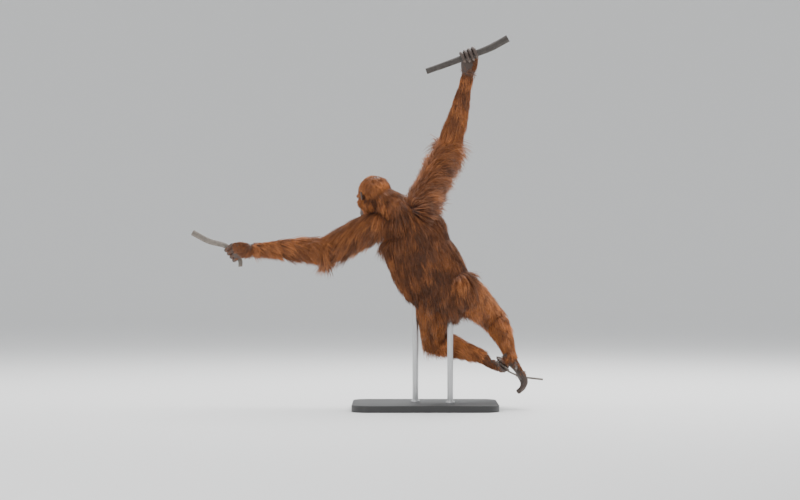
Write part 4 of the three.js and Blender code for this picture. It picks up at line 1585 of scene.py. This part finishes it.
steel_material, tree, shader = material("rod_steel", Metallic=1.0)
stretched = add_node(tree, "ShaderNodeMapping", in_Vector=object_place(tree), in_Scale=(900, 900, 8))
grain = noise(tree, stretched.outputs[0], in_Scale=1.0, in_Detail=4.0)
tree.links.new(map_range(tree, grain, in_To_Min=0.24, in_To_Max=0.44), shader.inputs["Roughness"])
steel_colour = mix_colour(tree, grain, (0.42, 0.42, 0.43, 1), (0.6, 0.6, 0.6, 1))
tree.links.new(steel_colour, shader.inputs["Base Color"])
print("materials:", len(bpy.data.materials))

# %% [markdown]
# Each piece gets its material and the names of the solids it stands in for.
# The coat stands in for none, because the skin already does.

# %% Finish each piece
def finish_piece(piece, finish, slot, *nodes):
    piece.data.materials.clear()
    piece.data.materials.append(finish)
    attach(piece, "root")
    if nodes:
        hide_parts(*nodes)


LIMB_PARTS = ("upper_arm", "forearm", "hand", "thigh", "shin", "foot")
flesh_nodes = ["head", "neck", "torso", "ear_left", "ear_right"]
for side_name in SIDES:
    flesh_nodes += [f"{part}_{side_name}" for part in LIMB_PARTS]
finish_piece(skin, skin_material, "skin", *flesh_nodes)
for piece in coat_pieces:
    finish_piece(piece, coat_material, "coat")
finish_piece(nails, nail_material, "skin")
for side_name in SIDES:
    finish_piece(eyes[side_name], eye_material, "eye", "eye_" + side_name)
finish_piece(branch, branch_material, "bark", "perch_branch")
finish_piece(liana, liana_material, "bark", "perch_liana")
finish_piece(twig, liana_material, "bark", "perch_twig")
finish_piece(base, base_material, "base", "stand_base")
for rod in rods:
    finish_piece(rod, steel_material, "steel", "stand_" + rod.name)
print("pieces finished:", 2 + len(coat_pieces) + len(eyes) + 4 + len(rods))

# %% [markdown]
# A pale round floor curves up into a pale wall with no corner on any side. The light is soft: a wide
# one from above and behind, which lights the edges of the coat as the sky does in the photograph,
# and weaker ones on both sides and in front.

# %% Floor and light
FLOOR_R, CURVE_R, WALL_H = 12000, 5000, 9000
FLOOR_AROUND, CURVE_RINGS = 96, 13


def round_floor():
    """A round floor that curves up into a wall on all sides, facing in and up."""
    turn = np.arange(FLOOR_AROUND) * 2 * math.pi / FLOOR_AROUND
    bend = np.linspace(0, math.pi / 2, CURVE_RINGS)
    radii = [FLOOR_R / 2, *(FLOOR_R + CURVE_R * np.sin(bend)), FLOOR_R + CURVE_R]
    heights = [0, *(CURVE_R * (1 - np.cos(bend))), WALL_H]
    rows = [vec(0, 0, 0)[None]]
    for r, z in zip(radii, heights):
        rows.append(np.stack([r * np.cos(turn), r * np.sin(turn), np.full(FLOOR_AROUND, z)], 1))
    j = np.arange(FLOOR_AROUND)
    k = (j + 1) % FLOOR_AROUND
    faces = [np.stack([np.zeros(FLOOR_AROUND, int), 1 + j, 1 + k], 1)]
    for i in range(len(radii) - 1):
        a, b = 1 + i * FLOOR_AROUND, 1 + (i + 1) * FLOOR_AROUND
        faces += [np.stack([a + j, b + j, b + k], 1), np.stack([a + j, b + k, a + k], 1)]
    return mesh_object("floor", [(np.vstack(rows), np.vstack(faces))])


floor = round_floor()
floor_material, tree, shader = material("floor", Roughness=0.9, Base_Color=(0.8, 0.8, 0.79, 1))
floor.data.materials.append(floor_material)

LIGHTS = {  # place, size, power
    "sky": ((0.6, 1.8, 4.2), 4.0, 330),
    "front": ((-1.8, -5.0, 2.6), 3.5, 90),
    "left": ((-4.5, 0.5, 2.2), 3.0, 80),
    "right": ((4.5, 0.8, 2.4), 3.0, 100),
}
AIM = Vector((-0.1, 0.0, 0.75))
for name, (place, size, power) in LIGHTS.items():
    data = bpy.data.lights.new(name, "AREA")
    data.energy, data.size = power, size
    lamp = bpy.data.objects.new(name, data)
    lamp.location = place
    lamp.visible_camera = False
    lamp.rotation_euler = (AIM - Vector(place)).to_track_quat("-Z", "Y").to_euler()
    bpy.context.scene.collection.objects.link(lamp)
world = bpy.data.worlds.new("studio")
bpy.context.scene.world = world
world.use_nodes = True
background = world.node_tree.nodes["Background"]
background.inputs["Color"].default_value = (0.9, 0.92, 0.95, 1)
background.inputs["Strength"].default_value = 1.0
print("lights:", list(LIGHTS))
